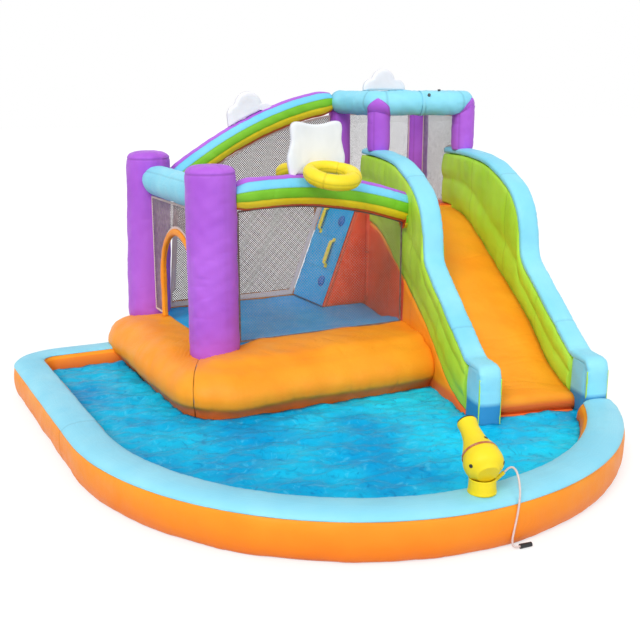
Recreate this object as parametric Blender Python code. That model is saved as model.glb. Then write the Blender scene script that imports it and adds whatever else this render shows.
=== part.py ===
"""Inflatable playhouse: a netted bounce house with a climbing ramp, a tower, a slide and a splash pool.

Metres, +Z up. X runs to the right along the front of the house, Y runs to the back.
Sizes and places below are in the layout's own frame. One empty then carries every piece,
so that the middle of the footprint on the ground is the origin.
"""

import math

import bmesh
import bpy
from mathutils import Matrix, Vector

# Clearance between neighbouring pieces
GAP = 0.0003

# Air chambers: wall, and the vents that join them
CHAMBER_WALL = 0.006
VENT_RADIUS = 0.06
VENT_Z = 0.20

# House plan and posts
POST_LINE_X = -0.635
FRONT_LINE_Y = 0.374
BACK_LINE_Y = 1.697
POST_RADIUS = 0.155
POST_SHOULDER_Z = 1.505
POST_DOME = 0.055
FLOOR_TOP = 0.38
FLOOR_LEFT = -0.60
FLOOR_FRONT = 0.64
FLOOR_BACK = 1.72
BAFFLE_COUNT = 4
BAFFLE_THICKNESS = 0.003

# Bolsters round the bounce floor
BASE_LEFT = -1.03
BASE_FRONT = -0.245
BASE_BACK = 2.00
BASE_CORNER = 0.36
BOLSTER_TOP = 0.42
BOLSTER_BULGE_Z = 0.235
BOLSTER_FOOT = 0.15
BOLSTER_CROWN = 0.40

# Beam and arches
BEAM_Z = 1.365
BEAM_RADIUS = 0.105
FRONT_ARCH_RADIUS = 0.098
FRONT_ARCH_TOP = (-0.17, 1.378)
FRONT_ARCH_CURVE = 0.185
BACK_ARCH_RADIUS = 0.095
BACK_ARCH_TOP = (1.15, 1.903)
BACK_ARCH_CURVE = 0.235
BACK_ARCH_RIGHT = 0.90

# Entry net and doorway
NET_THICKNESS = 0.006
NET_HEM = 0.04
NET_PITCH = 0.14
NET_STRAND = 0.012
DOOR_LEFT = 0.70
DOOR_RIGHT = 1.31
DOOR_TOP = 1.04
TRIM_WIDTH = 0.045
TRIM_DEPTH = 0.04

# Slide. It is turned about its head, s runs down it and t across it to the right.
SLIDE_HEAD = Vector((1.32, 1.07, 0.0))
SLIDE_TURN = math.radians(13.0)
SLIDE_HALF = 0.40
SLIDE_INNER = 0.27
BED_THICKNESS = 0.10
BED_CROWN = 0.025
BED_PROFILE = ((0.0, 1.12), (0.06, 1.12), (0.28, 1.08), (0.60, 0.945), (0.886, 0.80), (1.34, 0.578),
               (1.65, 0.361), (1.85, 0.282), (2.03, 0.245))
WALL_BACK = -0.20
RIM_HEIGHT = 0.04
RIM_SOFT = 0.012
RIM_PROFILE = ((0.20, 1.54), (0.55, 1.51), (0.80, 1.44), (0.98, 1.36), (1.10, 1.25), (1.16, 1.12),
               (1.19, 0.98), (1.25, 0.90), (1.40, 0.80), (1.545, 0.712), (1.72, 0.60), (1.885, 0.50))
BLOCK_BACK = 1.93
BLOCK_TOP = 0.478
BLOCK_SHOULDER = 0.30
BLOCK_END = 2.15
BLOCK_ROUND = 0.045

# Tower
TOWER_TOP = 1.12
TOWER_BACK_LEFT = 0.88
TOWER_BACK_RIGHT = 1.80
TOWER_POST_RADIUS = 0.081
TOWER_POST_INSET = 0.334
BACK_POST_LEFT_X = 0.965
BACK_POST_RIGHT_X = 1.70
RING_Z = 1.885
RING_RADIUS = 0.088
RING_CORNER = 0.10
RING_PUSH = 0.034

# Climbing ramp
RAMP_FOOT_X = 0.545
RAMP_TOP_X = 0.833
RAMP_FRONT = 1.19
RAMP_BACK = 1.71
PANEL_FRONT = 1.195
PANEL_BACK = 1.69
PANEL_THICKNESS = 0.008
PANEL_LOW = 0.015
PANEL_HIGH = 0.785
HANDLE_WIDTH = 0.034
HANDLE_THICKNESS = 0.016
HANDLE_RISE = 0.036
HANDLES = {"climb_handle_upper": (0.562, 0.742, 1.573), "climb_handle_lower": (0.318, 0.510, 1.323)}
HOLD_RADIUS = 0.042
HOLD_HEIGHT = 0.024
HOLDS = {"climb_hold_upper": (0.672, 1.311), "climb_hold_lower": (0.193, 1.309)}

# Pool
POOL_LEFT = -1.72
POOL_BACK = 1.52
POOL_CORNER = 0.30
POOL_START_X = -0.90
POOL_OVAL = Vector((-0.18, -0.30, 0.0))
POOL_OVAL_RIGHT = 1.67
POOL_OVAL_FRONT = 1.68
POOL_WALL_WIDTH = 0.235
POOL_WALL_HEIGHT = 0.256
POOL_WALL_FOOT = 0.15
POOL_BULGE_Z = 0.125
RIM_PANEL_WIDTH = 0.156
RIM_PANEL_THICKNESS = 0.004
POOL_FLOOR_THICKNESS = 0.006

# Backboard, hoops and clouds
BOARD_X = 0.08
BOARD_HALF = 0.17
BOARD_WAVE = 0.022
BOARD_TOP = 1.80
BOARD_THICKNESS = 0.04
HOOP_X = 0.09
HOOP_HINGE_Z = 1.52
HOOP_RING_RADIUS = 0.145
HOOP_TUBE_RADIUS = 0.04
HOOP_DROOP = math.radians(16.0)
CLOUD_THICKNESS = 0.05
CLOUD_LEFT_BALLS = ((0.186, 1.86, 0.11), (0.088, 1.80, 0.072), (0.322, 1.815, 0.070))
CLOUD_REAR_BALLS = ((1.370, 2.03, 0.111), (1.258, 1.99, 0.071), (1.500, 1.985, 0.075))

# Sprinkler line on the ring, as shares of the way along its front tube
TAB_PLACES = {"sprinkler_tab_1": (0.57, 40.0), "sprinkler_tab_2": (0.77, 90.0)}
TAB_RADIUS = 0.011
TAB_HEIGHT = 0.012
STRAP_PLACE = 0.49
STRAP_WIDTH = 0.020
STRAP_THICKNESS = 0.003

# Water cannon
CANNON_PIVOT = Vector((-0.234, -1.863, 0.39))
CANNON_DIRECTION = Vector((0.201, 0.839, 0.503)).normalized()
CANNON_BULGE_AT = 0.07
CANNON_BULGE = 0.0915
SOCKET_CLEARANCE = 0.0009
CANNON_PROFILE = ((0.0, 0.052), (0.01, 0.060), (0.035, 0.0845), (0.07, 0.0915), (0.10, 0.0864), (0.13, 0.078),
                  (0.16, 0.065), (0.19, 0.055), (0.24, 0.046), (0.27, 0.0445), (0.30, 0.048))
CANNON_BORE = 0.030
CANNON_SIDES = 24
CANNON_BORE_DEPTH = 0.05
NECK_FOOT_RADIUS = 0.066
NECK_TOP_RADIUS = 0.062
NECK_LIP = 0.002
MUZZLE_RING_LENGTH = 0.008
MUZZLE_RING_STEP = 0.003
EYES = {"cannon_eye_right": (0.034, 21.0), "cannon_eye_left": (0.034, 159.0), "cannon_nostril": (0.160, 63.0)}
EYE_RADIUS = 0.009
EYE_PROUD = 0.002
EYE_ROOT = 0.006
BRIDLE_AT = 0.118
BRIDLE_WIDTH = 0.014
BRIDLE_THICKNESS = 0.003
FITTING_START = Vector((-0.172, -1.866, 0.288))
FITTING_END = Vector((-0.130, -1.882, 0.330))
FITTING_RADIUS = 0.009

# Hose from the fitting over the pool wall to its connector on the ground
HOSE_RADIUS = 0.005
HOSE_POINTS = 36
HOSE_ROUTE = ((-0.1298, -1.8821, 0.3302), (-0.1174, -1.8868, 0.3426), (-0.106, -1.893, 0.352),
              (-0.099, -1.909, 0.355), (-0.099, -1.932, 0.343), (-0.104, -1.957, 0.313),
              (-0.112, -1.977, 0.268), (-0.121, -1.9866, 0.215), (-0.132, -1.9885, 0.150),
              (-0.144, -1.9885, 0.090), (-0.152, -1.9900, 0.048), (-0.147, -1.9925, 0.020),
              (-0.130, -1.9950, 0.0125), (-0.112, -1.9965, 0.0125))
CONNECTOR_RADIUS = 0.012
CONNECTOR_LENGTH = 0.060

# Air inlet at the back
INLET_X = 0.30
INLET_Z = 0.20
INLET_RADIUS = 0.095
INLET_LENGTH = 0.085
INLET_ROOT = 0.06
INLET_TAIL = 0.025
INLET_WAIST = 0.070
INLET_MOUTH = 0.080
INLET_WALL = 0.004

UP = Vector((0.0, 0.0, 1.0))
DOWN_SLIDE = Vector((-math.sin(SLIDE_TURN), -math.cos(SLIDE_TURN), 0.0))
ACROSS_SLIDE = Vector((math.cos(SLIDE_TURN), -math.sin(SLIDE_TURN), 0.0))

# Colours, roughness
ORANGE = ((1.0, 0.42, 0.06), 0.45)
PURPLE = ((0.50, 0.16, 0.78), 0.45)
LIGHT_BLUE = ((0.33, 0.76, 0.95), 0.45)
GREEN = ((0.42, 0.72, 0.08), 0.45)
YELLOW = ((0.95, 0.80, 0.05), 0.45)
FLOOR_BLUE = ((0.06, 0.40, 0.62), 0.5)
NET_GREY = ((0.30, 0.27, 0.30), 0.8)
CLOUD_GREY = ((0.85, 0.86, 0.90), 0.5)
WHITE = ((0.92, 0.92, 0.93), 0.5)
BLACK = ((0.02, 0.02, 0.02), 0.4)
BROWN = ((0.45, 0.14, 0.03), 0.5)
HOSE_CLEAR = ((0.92, 0.75, 0.72), 0.2)


# Small helpers


def slide_point(s, t, z):
    return SLIDE_HEAD + DOWN_SLIDE * s + ACROSS_SLIDE * t + UP * z


def on_plane(origin, right, points):
    """Puts (across, z) points on the upright plane through origin along right."""
    return [origin + right * a + UP * z for a, z in points]


def smooth_curve(points, step):
    """Points about a step apart along a smooth curve through the given ones."""
    points = [Vector(p) for p in points]
    found = []
    for i in range(len(points) - 1):
        a = points[max(i - 1, 0)]
        b = points[i]
        c = points[i + 1]
        d = points[min(i + 2, len(points) - 1)]
        count = max(1, round((c - b).length / step))
        for k in range(count):
            x = k / count
            bend = (2 * a - 5 * b + 4 * c - d) * x**2 + (3 * b - a - 3 * c + d) * x**3
            found.append(0.5 * (2 * b + (c - a) * x + bend))
    found.append(points[-1])
    return found


def mitred(path, index, closed):
    """Tangent at a path point and how much wider a section is there."""
    last = len(path) - 1
    before = path[index] - path[index - 1] if closed or index > 0 else path[1] - path[0]
    at_the_end = index == last and not closed
    after = path[last] - path[last - 1] if at_the_end else path[(index + 1) % len(path)] - path[index]
    before = before.normalized()
    after = after.normalized()
    tangent = (before + after).normalized()
    return tangent, 1.0 / max(tangent.dot(after), 0.3)


def offset_line(points, distance):
    """A line of 2-D points moved to its left by the distance."""
    path = [Vector((a, b, 0.0)) for a, b in points]
    moved = []
    for i in range(len(path)):
        tangent, widen = mitred(path, i, False)
        side = Vector((-tangent.y, tangent.x, 0.0))
        p = path[i] + side * distance * widen
        moved.append((p.x, p.y))
    return moved


def grown(corners, distance):
    """A plan outline, given anticlockwise, with every side moved out by the distance."""
    moved = []
    for i in range(len(corners)):
        tangent, widen = mitred(corners, i, True)
        moved.append(corners[i] + tangent.cross(UP) * distance * widen)
    return moved


def bulge(low, high, exponent, steps):
    """(inset, z) points from low to high along a rounded quarter that starts or ends upright."""
    points = []
    for i in range(steps + 1):
        angle = math.pi / 2 * i / steps
        across = math.sin(angle) ** (2 / exponent)
        along = math.cos(angle) ** (2 / exponent)
        points.append((low[0] + (high[0] - low[0]) * (1 - along), low[1] + (high[1] - low[1]) * across))
    return points


def circle_section(radius, sides, turn=0.0):
    angles = [turn + 2 * math.pi * i / sides for i in range(sides)]
    return [(radius * math.cos(a), radius * math.sin(a)) for a in angles]


# Solids as bmesh


def loft(rings, closed):
    """A body through rings of points. A ring of one point is a pole."""
    mesh = bmesh.new()
    rows = [[mesh.verts.new(p) for p in ring] for ring in rings]
    pairs = list(zip(rows, rows[1:]))
    if closed:
        pairs.append((rows[-1], rows[0]))
    for low, high in pairs:
        count = max(len(low), len(high))
        for i in range(count):
            j = (i + 1) % count
            corners = [low[i % len(low)], low[j % len(low)], high[j % len(high)], high[i % len(high)]]
            mesh.faces.new(list(dict.fromkeys(corners)))
    if not closed:
        for row in (rows[0], rows[-1]):
            if len(row) > 1:
                mesh.faces.new(row)
    bmesh.ops.recalc_face_normals(mesh, faces=mesh.faces)
    return mesh


def sweep(path, section, normal, closed=False):
    """A section, as (across, along normal) points, swept along a path that lies square to the normal."""
    rings = []
    for i in range(len(path)):
        tangent, widen = mitred(path, i, closed)
        across = normal.cross(tangent)
        rings.append([path[i] + across * a * widen + normal * b for a, b in section])
    return loft(rings, closed)


def prism(outline, offset):
    return loft([outline, [p + offset for p in outline]], False)


def box(low, high):
    low = Vector(low)
    high = Vector(high)
    base = [Vector((x, y, low.z)) for x, y in
            ((low.x, low.y), (high.x, low.y), (high.x, high.y), (low.x, high.y))]
    return prism(base, UP * (high.z - low.z))


def turned(profile, start, direction, sides, closed=False):
    """A body turned about a line, from (distance along it, radius) points."""
    direction = direction.normalized()
    side = direction.orthogonal().normalized()
    other = direction.cross(side)
    rings = []
    for along, radius in profile:
        centre = start + direction * along
        if radius < 1e-6:
            rings.append([centre])
            continue
        rings.append([centre + side * a + other * b for a, b in circle_section(radius, sides)])
    return loft(rings, closed)


def collar(centre, direction, inner, outer, width, sides):
    """A round band about a line."""
    half = width / 2
    profile = ((-half, inner), (-half, outer), (half, outer), (half, inner))
    return turned(profile, centre, direction, sides, closed=True)


def joined(meshes):
    """Several separate bodies in one mesh."""
    whole = bmesh.new()
    for mesh in meshes:
        part = bpy.data.meshes.new("part")
        mesh.to_mesh(part)
        mesh.free()
        whole.from_mesh(part)
        bpy.data.meshes.remove(part)
    return whole


def soften(mesh, width):
    """Bevels the long outer edges of a prism."""
    edges = [e for e in mesh.edges if e.is_convex and e.calc_face_angle() > math.radians(60.0)]
    bmesh.ops.bevel(mesh, geom=edges, offset=width, segments=1, affect="EDGES", clamp_overlap=True)


# Objects


def clear_scene():
    for obj in list(bpy.data.objects):
        bpy.data.objects.remove(obj, do_unlink=True)


def make_material(name, look):
    colour, roughness = look
    material = bpy.data.materials.new(name)
    material.use_nodes = True
    shader = material.node_tree.nodes["Principled BSDF"]
    shader.inputs["Base Color"].default_value = (*colour, 1.0)
    shader.inputs["Roughness"].default_value = roughness
    shader.inputs["Metallic"].default_value = 0.0
    return material


def add_object(name, mesh, pivot=None, parent=None):
    data = bpy.data.meshes.new(name)
    if pivot is not None:
        bmesh.ops.translate(mesh, verts=mesh.verts, vec=-pivot)
    mesh.to_mesh(data)
    mesh.free()
    data.shade_smooth()
    data.set_sharp_from_angle(angle=math.radians(35.0))
    obj = bpy.data.objects.new(name, data)
    bpy.context.scene.collection.objects.link(obj)
    obj.parent = parent or bpy.data.objects["layout_origin"]
    if pivot is not None and parent is None:
        obj.location = pivot
    return obj


def piece(name, mesh, look, pivot=None, parent=None):
    obj = add_object(name, mesh, pivot, parent)
    obj.data.materials.append(make_material(name, look))
    return obj


def cutter(name, mesh):
    obj = add_object("cut_" + name, mesh)
    obj.hide_render = True
    obj.display_type = "WIRE"
    return obj


def carve(obj, *tools, operation="DIFFERENCE"):
    for tool in tools:
        modifier = obj.modifiers.new(operation.lower() + "_" + tool.name, "BOOLEAN")
        modifier.operation = operation
        modifier.object = tool


# Bolsters and bounce floor


def base_pillow(grow):
    """The whole inflated base as one pillow, which the bolsters are cut from."""
    foot = bulge((0.0, BOLSTER_BULGE_Z), (BOLSTER_FOOT, 0.0), 1.1, 4)[::-1]
    crown = bulge((0.0, BOLSTER_BULGE_Z), (BOLSTER_CROWN, BOLSTER_TOP + grow), 2.4, 6)[1:]
    right = SLIDE_HEAD.x
    rings = []
    for inset, z in foot + crown:
        side = inset - grow
        radius = max(BASE_CORNER - side, 0.02)
        low = Vector((BASE_LEFT + side, BASE_FRONT + side, 0.0))
        high = Vector((right, BASE_BACK - side, 0.0))
        ring = []
        for centre, start in (((high.x - 0.1, high.y - 0.1), 0), ((low.x + radius, high.y - radius), 90),
                              ((low.x + radius, low.y + radius), 180), ((high.x - 0.1, low.y + 0.1), 270)):
            at_left = centre[0] < 0
            steps = 8 if at_left else 1
            turn = radius if at_left else 0.1
            for i in range(steps + 1):
                angle = math.radians(start + 90 * i / steps)
                across = Vector((math.cos(angle), math.sin(angle), 0.0)) * turn
                ring.append(Vector((centre[0], centre[1], z)) + across)
        rings.append(ring)
    rings[0] = [Vector((p.x, p.y, -grow)) for p in rings[0]]
    return loft(rings, False)


def slide_lane(low, high, clearance=GAP):
    """A tall block over the slide's width, from one place down the slide to another."""
    half = SLIDE_HALF + clearance
    outline = [slide_point(s, t, -0.1) for s, t in ((low, -half), (low, half), (high, half), (high, -half))]
    return prism(outline, UP * 3.0)


def slide_left_x(y):
    """Where the slide's left side is at a given y."""
    s = (SLIDE_HEAD.y + SLIDE_HALF * math.sin(SLIDE_TURN) - y) / math.cos(SLIDE_TURN)
    return slide_point(s, -SLIDE_HALF, 0.0).x


def tower_outline(grow):
    """Plan of the tower's base block, with its front face square to the slide."""
    left = slide_point(0.0, -SLIDE_HALF, 0.0)
    right = slide_point(0.0, SLIDE_HALF, 0.0)
    back = (Vector((TOWER_BACK_RIGHT, BASE_BACK, 0.0)), Vector((TOWER_BACK_LEFT, BASE_BACK, 0.0)))
    return grown([left, right, *back], grow)


def plan(*corners):
    return [Vector((x, y, 0.0)) for x, y in corners]


def make_base(cuts):
    far = SLIDE_HEAD.x
    outer_x = 2 * BASE_LEFT - FLOOR_LEFT
    outer_y = 2 * BASE_FRONT - FLOOR_FRONT
    behind = BASE_BACK + 0.2
    regions = {
        "front_bolster": plan((FLOOR_LEFT, FLOOR_FRONT), (outer_x, outer_y),
                              (far, outer_y), (far, FLOOR_FRONT)),
        "left_bolster": plan((FLOOR_LEFT, FLOOR_FRONT), (FLOOR_LEFT, FLOOR_BACK), (outer_x, FLOOR_BACK),
                             (outer_x, outer_y)),
        "back_bolster": plan((outer_x, FLOOR_BACK), (far, FLOOR_BACK), (far, behind), (outer_x, behind)),
    }
    ends = {"front_bolster": ["lane"], "left_bolster": [], "back_bolster": ["tower"]}
    for name, region in regions.items():
        bolster = piece(name, base_pillow(0.0), ORANGE)
        space = cutter(name + "_region", prism([p - UP * 0.1 for p in grown(region, -GAP / 2)], UP))
        carve(bolster, space, operation="INTERSECT")
        carve(bolster, *[cuts[end] for end in ends[name]])
        room = cutter(name + "_room", base_pillow(-CHAMBER_WALL))
        inner = prism([p - UP * 0.1 for p in grown(region, -CHAMBER_WALL)], UP)
        carve(room, cutter(name + "_room_region", inner), operation="INTERSECT")
        carve(room, *[cuts[end + "_wide"] for end in ends[name]])
        carve(bolster, room, cuts[name + "_vent"])
        if name == "back_bolster":
            carve(bolster, cuts["inlet"])


def make_floor(cuts):
    low = Vector((FLOOR_LEFT + GAP / 2, FLOOR_FRONT + GAP / 2, 0.0))
    high = Vector((SLIDE_HEAD.x, FLOOR_BACK - GAP / 2, FLOOR_TOP))
    floor = piece("bounce_floor", box(low, high), FLOOR_BLUE)
    carve(floor, cuts["lane"], cuts["tower"])
    wall = Vector((CHAMBER_WALL, CHAMBER_WALL, CHAMBER_WALL))
    room = cutter("floor_room", box(low + wall, high - wall))
    carve(room, cuts["lane_wide"], cuts["tower_wide"])
    carve(floor, room, cuts["front_bolster_vent"], cuts["left_bolster_vent"], cuts["back_bolster_vent"],
          cuts["floor_to_tower_vent"])
    step = (TOWER_BACK_LEFT - FLOOR_LEFT) / (BAFFLE_COUNT + 1)
    inside = CHAMBER_WALL + GAP
    for i in range(BAFFLE_COUNT):
        x = FLOOR_LEFT + step * (i + 1)
        start = Vector((x - BAFFLE_THICKNESS / 2, low.y + inside, inside))
        end = Vector((x + BAFFLE_THICKNESS / 2, high.y - inside, high.z - inside))
        piece(f"floor_baffle_{i + 1}", box(start, end), WHITE)


# Posts, beam and arches


def post_solid(x, y, foot, grow=0.0):
    radius = POST_RADIUS + grow
    profile = [(0.0, 0.0), (0.0, radius), (POST_SHOULDER_Z - foot, radius)]
    for i in range(1, 5):
        angle = math.pi / 2 * i / 4
        reach = 0.0 if i == 4 else radius * math.cos(angle) ** 0.6
        profile.append((POST_SHOULDER_Z - foot + (POST_DOME + grow) * math.sin(angle), reach))
    return turned(profile, Vector((x, y, foot)), UP, 32)


def arch_line(top, curve, start, end, count):
    """(x, z) points of an arch's axis."""
    return [(x, top[1] - curve * (x - top[0]) ** 2)
            for x in (start + (end - start) * i / count for i in range(count + 1))]


FRONT_ARCH = arch_line(FRONT_ARCH_TOP, FRONT_ARCH_CURVE, POST_LINE_X, SLIDE_HEAD.x - SLIDE_HALF, 18)
BACK_ARCH = arch_line(BACK_ARCH_TOP, BACK_ARCH_CURVE, POST_LINE_X, BACK_ARCH_RIGHT, 20)


def arch_solid(line, y, radius):
    path = on_plane(Vector((0.0, y, 0.0)), Vector((1.0, 0.0, 0.0)), line)
    return sweep(path, circle_section(radius, 16), Vector((0.0, 1.0, 0.0)))


def make_posts(cuts):
    for name, y in (("post_front_left", FRONT_LINE_Y), ("post_back_left", BACK_LINE_Y)):
        post = piece(name, post_solid(POST_LINE_X, y, FLOOR_TOP - 0.08), PURPLE)
        carve(post, cuts["base"])
        cuts[name] = cutter(name, post_solid(POST_LINE_X, y, FLOOR_TOP - 0.2, GAP))
    path = [Vector((POST_LINE_X, FRONT_LINE_Y, BEAM_Z)), Vector((POST_LINE_X, BACK_LINE_Y, BEAM_Z))]
    section = circle_section(BEAM_RADIUS, 24)
    beam = piece("entry_beam", sweep(path, section, Vector((1.0, 0.0, 0.0))), LIGHT_BLUE)
    carve(beam, cuts["post_front_left"], cuts["post_back_left"])
    front = piece("front_arch", arch_solid(FRONT_ARCH, FRONT_LINE_Y, FRONT_ARCH_RADIUS), GREEN)
    carve(front, cuts["post_front_left"], cuts["lane"])
    back = piece("back_arch", arch_solid(BACK_ARCH, BACK_LINE_Y, BACK_ARCH_RADIUS), GREEN)
    carve(back, cuts["post_back_left"], cuts["ring"], cuts["tower_post_back_left"])


# Slide


def curve_2d(points, step):
    return [(p.x, p.y) for p in smooth_curve([(a, b, 0.0) for a, b in points], step)]


BED_TOP = curve_2d(BED_PROFILE, 0.12)
BED_UNDER = offset_line(BED_TOP, -BED_THICKNESS)
RIM_TOP = [(WALL_BACK, RIM_PROFILE[0][1])] + curve_2d(RIM_PROFILE + ((BLOCK_BACK, BLOCK_TOP),), 0.09)
RIM_UNDER = offset_line(RIM_TOP, -RIM_HEIGHT)


def clip_line(line, low, high):
    """The part of a line of (s, z) points between two values of s."""
    kept = []
    for (s1, z1), (s2, z2) in zip(line, line[1:]):
        for edge in (low, high):
            if s1 < edge < s2:
                kept.append((edge, z1 + (z2 - z1) * (edge - s1) / (s2 - s1)))
        if low <= s2 <= high:
            kept.append((s2, z2))
    if low <= line[0][0] <= high:
        kept.insert(0, line[0])
    return sorted(set(kept))


def slide_prism(outline, low, high):
    return prism([slide_point(s, low, z) for s, z in outline], ACROSS_SLIDE * (high - low))


def rim_outline(grow):
    shoulder = BLOCK_SHOULDER
    foot = POOL_FLOOR_THICKNESS + GAP
    bed_end = BED_PROFILE[-1][0]
    top = [(s, z + grow) for s, z in RIM_TOP]
    under = clip_line(RIM_UNDER, WALL_BACK - grow, BLOCK_BACK - grow)
    under = [(s, z - grow) for s, z in under]
    top[0] = (WALL_BACK - grow, top[0][1])
    under[0] = (WALL_BACK - grow, under[0][1])
    last = under[-1]
    under[-1] = (BLOCK_BACK - grow, last[1])
    end = BLOCK_END + grow
    turn = (end - BLOCK_ROUND, BLOCK_TOP + grow - BLOCK_ROUND)
    corner = [(turn[0] + BLOCK_ROUND * math.sin(a), turn[1] + BLOCK_ROUND * math.cos(a))
              for a in (0.0, math.pi / 6, math.pi / 3, math.pi / 2)]
    block = [(end, foot), (bed_end + GAP - grow, foot), (bed_end + GAP - grow, shoulder - grow),
             (BLOCK_BACK - grow, shoulder - grow)]
    return top + corner + block + under[::-1]


def make_slide(cuts):
    bed_end = BED_PROFILE[-1][0]
    under = [(s, z - GAP) for s, z in clip_line(BED_UNDER, GAP, bed_end)]
    under[0] = (GAP, under[0][1])
    wedge = [(GAP, 0.0), (bed_end, 0.0), (bed_end, under[-1][1])] + under[::-1]
    if abs(under[-1][0] - bed_end) < 1e-6:
        wedge = [(GAP, 0.0), (bed_end, 0.0)] + under[::-1]
    base = piece("slide_wedge", slide_prism(wedge, -SLIDE_HALF, SLIDE_HALF), ORANGE)
    flat = [Vector((s, z, 0.0)) for s, z in wedge]
    inner = [(p.x, p.y) for p in grown(flat, -CHAMBER_WALL)]
    room = cutter("wedge_room", slide_prism(inner, -SLIDE_HALF + CHAMBER_WALL, SLIDE_HALF - CHAMBER_WALL))
    carve(base, room, cuts["tower_vent"])

    half = SLIDE_INNER - GAP
    path = [slide_point(s, 0.0, z) for s, z in BED_TOP]
    path[0] = slide_point(GAP, 0.0, BED_TOP[0][1])
    section = [(-BED_THICKNESS, -half), (-BED_THICKNESS, half),
               (-BED_CROWN, half), (-BED_CROWN / 3, half * 0.8),
               (0.0, half * 0.4), (0.0, -half * 0.4), (-BED_CROWN / 3, -half * 0.8), (-BED_CROWN, -half)]
    piece("slide_bed", sweep(path, section, -ACROSS_SLIDE), ORANGE)

    top_line = [(s, z - GAP) for s, z in clip_line(RIM_UNDER, WALL_BACK, BLOCK_BACK - GAP)]
    top_line[0] = (WALL_BACK, top_line[0][1])
    top_line[-1] = (BLOCK_BACK - GAP, top_line[-1][1])
    bottom = clip_line(BED_UNDER, GAP, bed_end)
    bottom[0] = (GAP, bottom[0][1])
    shoulder = BLOCK_SHOULDER - GAP
    wall = [(WALL_BACK, TOWER_TOP + GAP), (GAP, TOWER_TOP + GAP)] + bottom + [(bed_end, shoulder)]
    wall += [(BLOCK_BACK - GAP, shoulder)] + top_line[::-1]
    for side, sign in (("left", -1.0), ("right", 1.0)):
        low, high = sorted((sign * SLIDE_INNER, sign * SLIDE_HALF))
        piece(f"slide_wall_{side}", slide_prism(wall, low, high), GREEN)
        rim = slide_prism(rim_outline(0.0), low, high)
        soften(rim, RIM_SOFT)
        piece(f"slide_rim_{side}", rim, LIGHT_BLUE)
        around = slide_prism(rim_outline(GAP), low - GAP, high + GAP)
        cuts[f"slide_rim_{side}"] = cutter(f"slide_rim_{side}", around)
    head_top = RIM_PROFILE[0][1] + GAP
    head = [(WALL_BACK - GAP, TOWER_TOP), (-WALL_BACK, TOWER_TOP), (-WALL_BACK, head_top),
            (WALL_BACK - GAP, head_top)]
    cuts["wall_head"] = cutter("wall_head", slide_prism(head, SLIDE_INNER - GAP, SLIDE_HALF + GAP))


# Tower


def ring_corners():
    """The four posts' axes seen from above, in order round the tower."""
    return [Vector((BACK_POST_LEFT_X, BACK_LINE_Y, 0.0)), slide_point(0.0, -TOWER_POST_INSET, 0.0),
            slide_point(0.0, TOWER_POST_INSET, 0.0), Vector((BACK_POST_RIGHT_X, BACK_LINE_Y, 0.0))]


def ring_path():
    corners = ring_corners()
    middle = sum(corners, Vector()) / 4
    pushed = [c + (c - middle).normalized() * RING_PUSH for c in corners]
    path = []
    for i in range(4):
        corner = pushed[i]
        before = (pushed[i - 1] - corner).normalized()
        after = (pushed[(i + 1) % 4] - corner).normalized()
        half = before.angle(after) / 2
        centre = corner + (before + after).normalized() * (RING_CORNER / math.sin(half))
        first = (corner + before * (RING_CORNER / math.tan(half)) - centre).normalized()
        turn = math.pi - 2 * half
        for k in range(6):
            spoke = Matrix.Rotation(turn * k / 5, 3, "Z") @ first
            path.append(centre + spoke * RING_CORNER + UP * RING_Z)
    return path


def ring_front_tube():
    """Start, direction and length of the ring's tube over the slide's head."""
    path = ring_path()
    start = path[11]
    end = path[12]
    return start, (end - start).normalized(), (end - start).length


def ring_solid(grow):
    return sweep(ring_path(), circle_section(RING_RADIUS + grow, 14), UP, closed=True)


def tower_post_solid(corner, foot, grow=0.0):
    profile = ((0.0, 0.0), (0.0, TOWER_POST_RADIUS + grow), (RING_Z - foot, TOWER_POST_RADIUS + grow),
               (RING_Z - foot, 0.0))
    return turned(profile, Vector((corner.x, corner.y, foot)), UP, 24)


def make_tower(cuts):
    base = piece("tower_base", prism(tower_outline(0.0), UP * TOWER_TOP), ORANGE)
    inner = [p + UP * CHAMBER_WALL for p in tower_outline(-CHAMBER_WALL)]
    room = cutter("tower_room", prism(inner, UP * (TOWER_TOP - 2 * CHAMBER_WALL)))
    carve(base, room, cuts["tower_vent"], cuts["floor_to_tower_vent"])
    piece("tower_ring", ring_solid(0.0), LIGHT_BLUE)
    back_left, front_left, front_right, back_right = ring_corners()
    back_foot = TOWER_TOP + GAP
    front_foot = RIM_PROFILE[0][1] - RIM_HEIGHT
    posts = {"post_back_right": (back_left, back_foot), "tower_post_front_left": (front_left, front_foot),
             "tower_post_front_right": (front_right, front_foot),
             "tower_post_back_right": (back_right, back_foot)}
    for name, (corner, foot) in posts.items():
        post = piece(name, tower_post_solid(corner, foot), PURPLE)
        carve(post, cuts["ring"])
        if "front" in name:
            side = "left" if "left" in name else "right"
            carve(post, cuts[f"slide_rim_{side}"])


def make_ring_details(cuts):
    start, direction, length = ring_front_tube()
    outward = direction.cross(UP).normalized()
    for name, (share, degrees) in TAB_PLACES.items():
        angle = math.radians(degrees)
        radial = outward * math.cos(angle) + UP * math.sin(angle)
        foot = start + direction * length * share + radial * (RING_RADIUS - TAB_HEIGHT)
        tab = turned(((0.0, 0.0), (0.0, TAB_RADIUS), (2 * TAB_HEIGHT, TAB_RADIUS), (2 * TAB_HEIGHT, 0.0)),
                     foot, radial, 12)
        carve(piece(name, tab, BLACK), cuts["ring"])
    inner = (RING_RADIUS + GAP) / math.cos(math.pi / 28)
    strap = collar(start + direction * length * STRAP_PLACE, direction, inner, inner + STRAP_THICKNESS,
                   STRAP_WIDTH, 28)
    piece("sprinkler_strap", strap, LIGHT_BLUE)


# Climbing ramp


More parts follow.
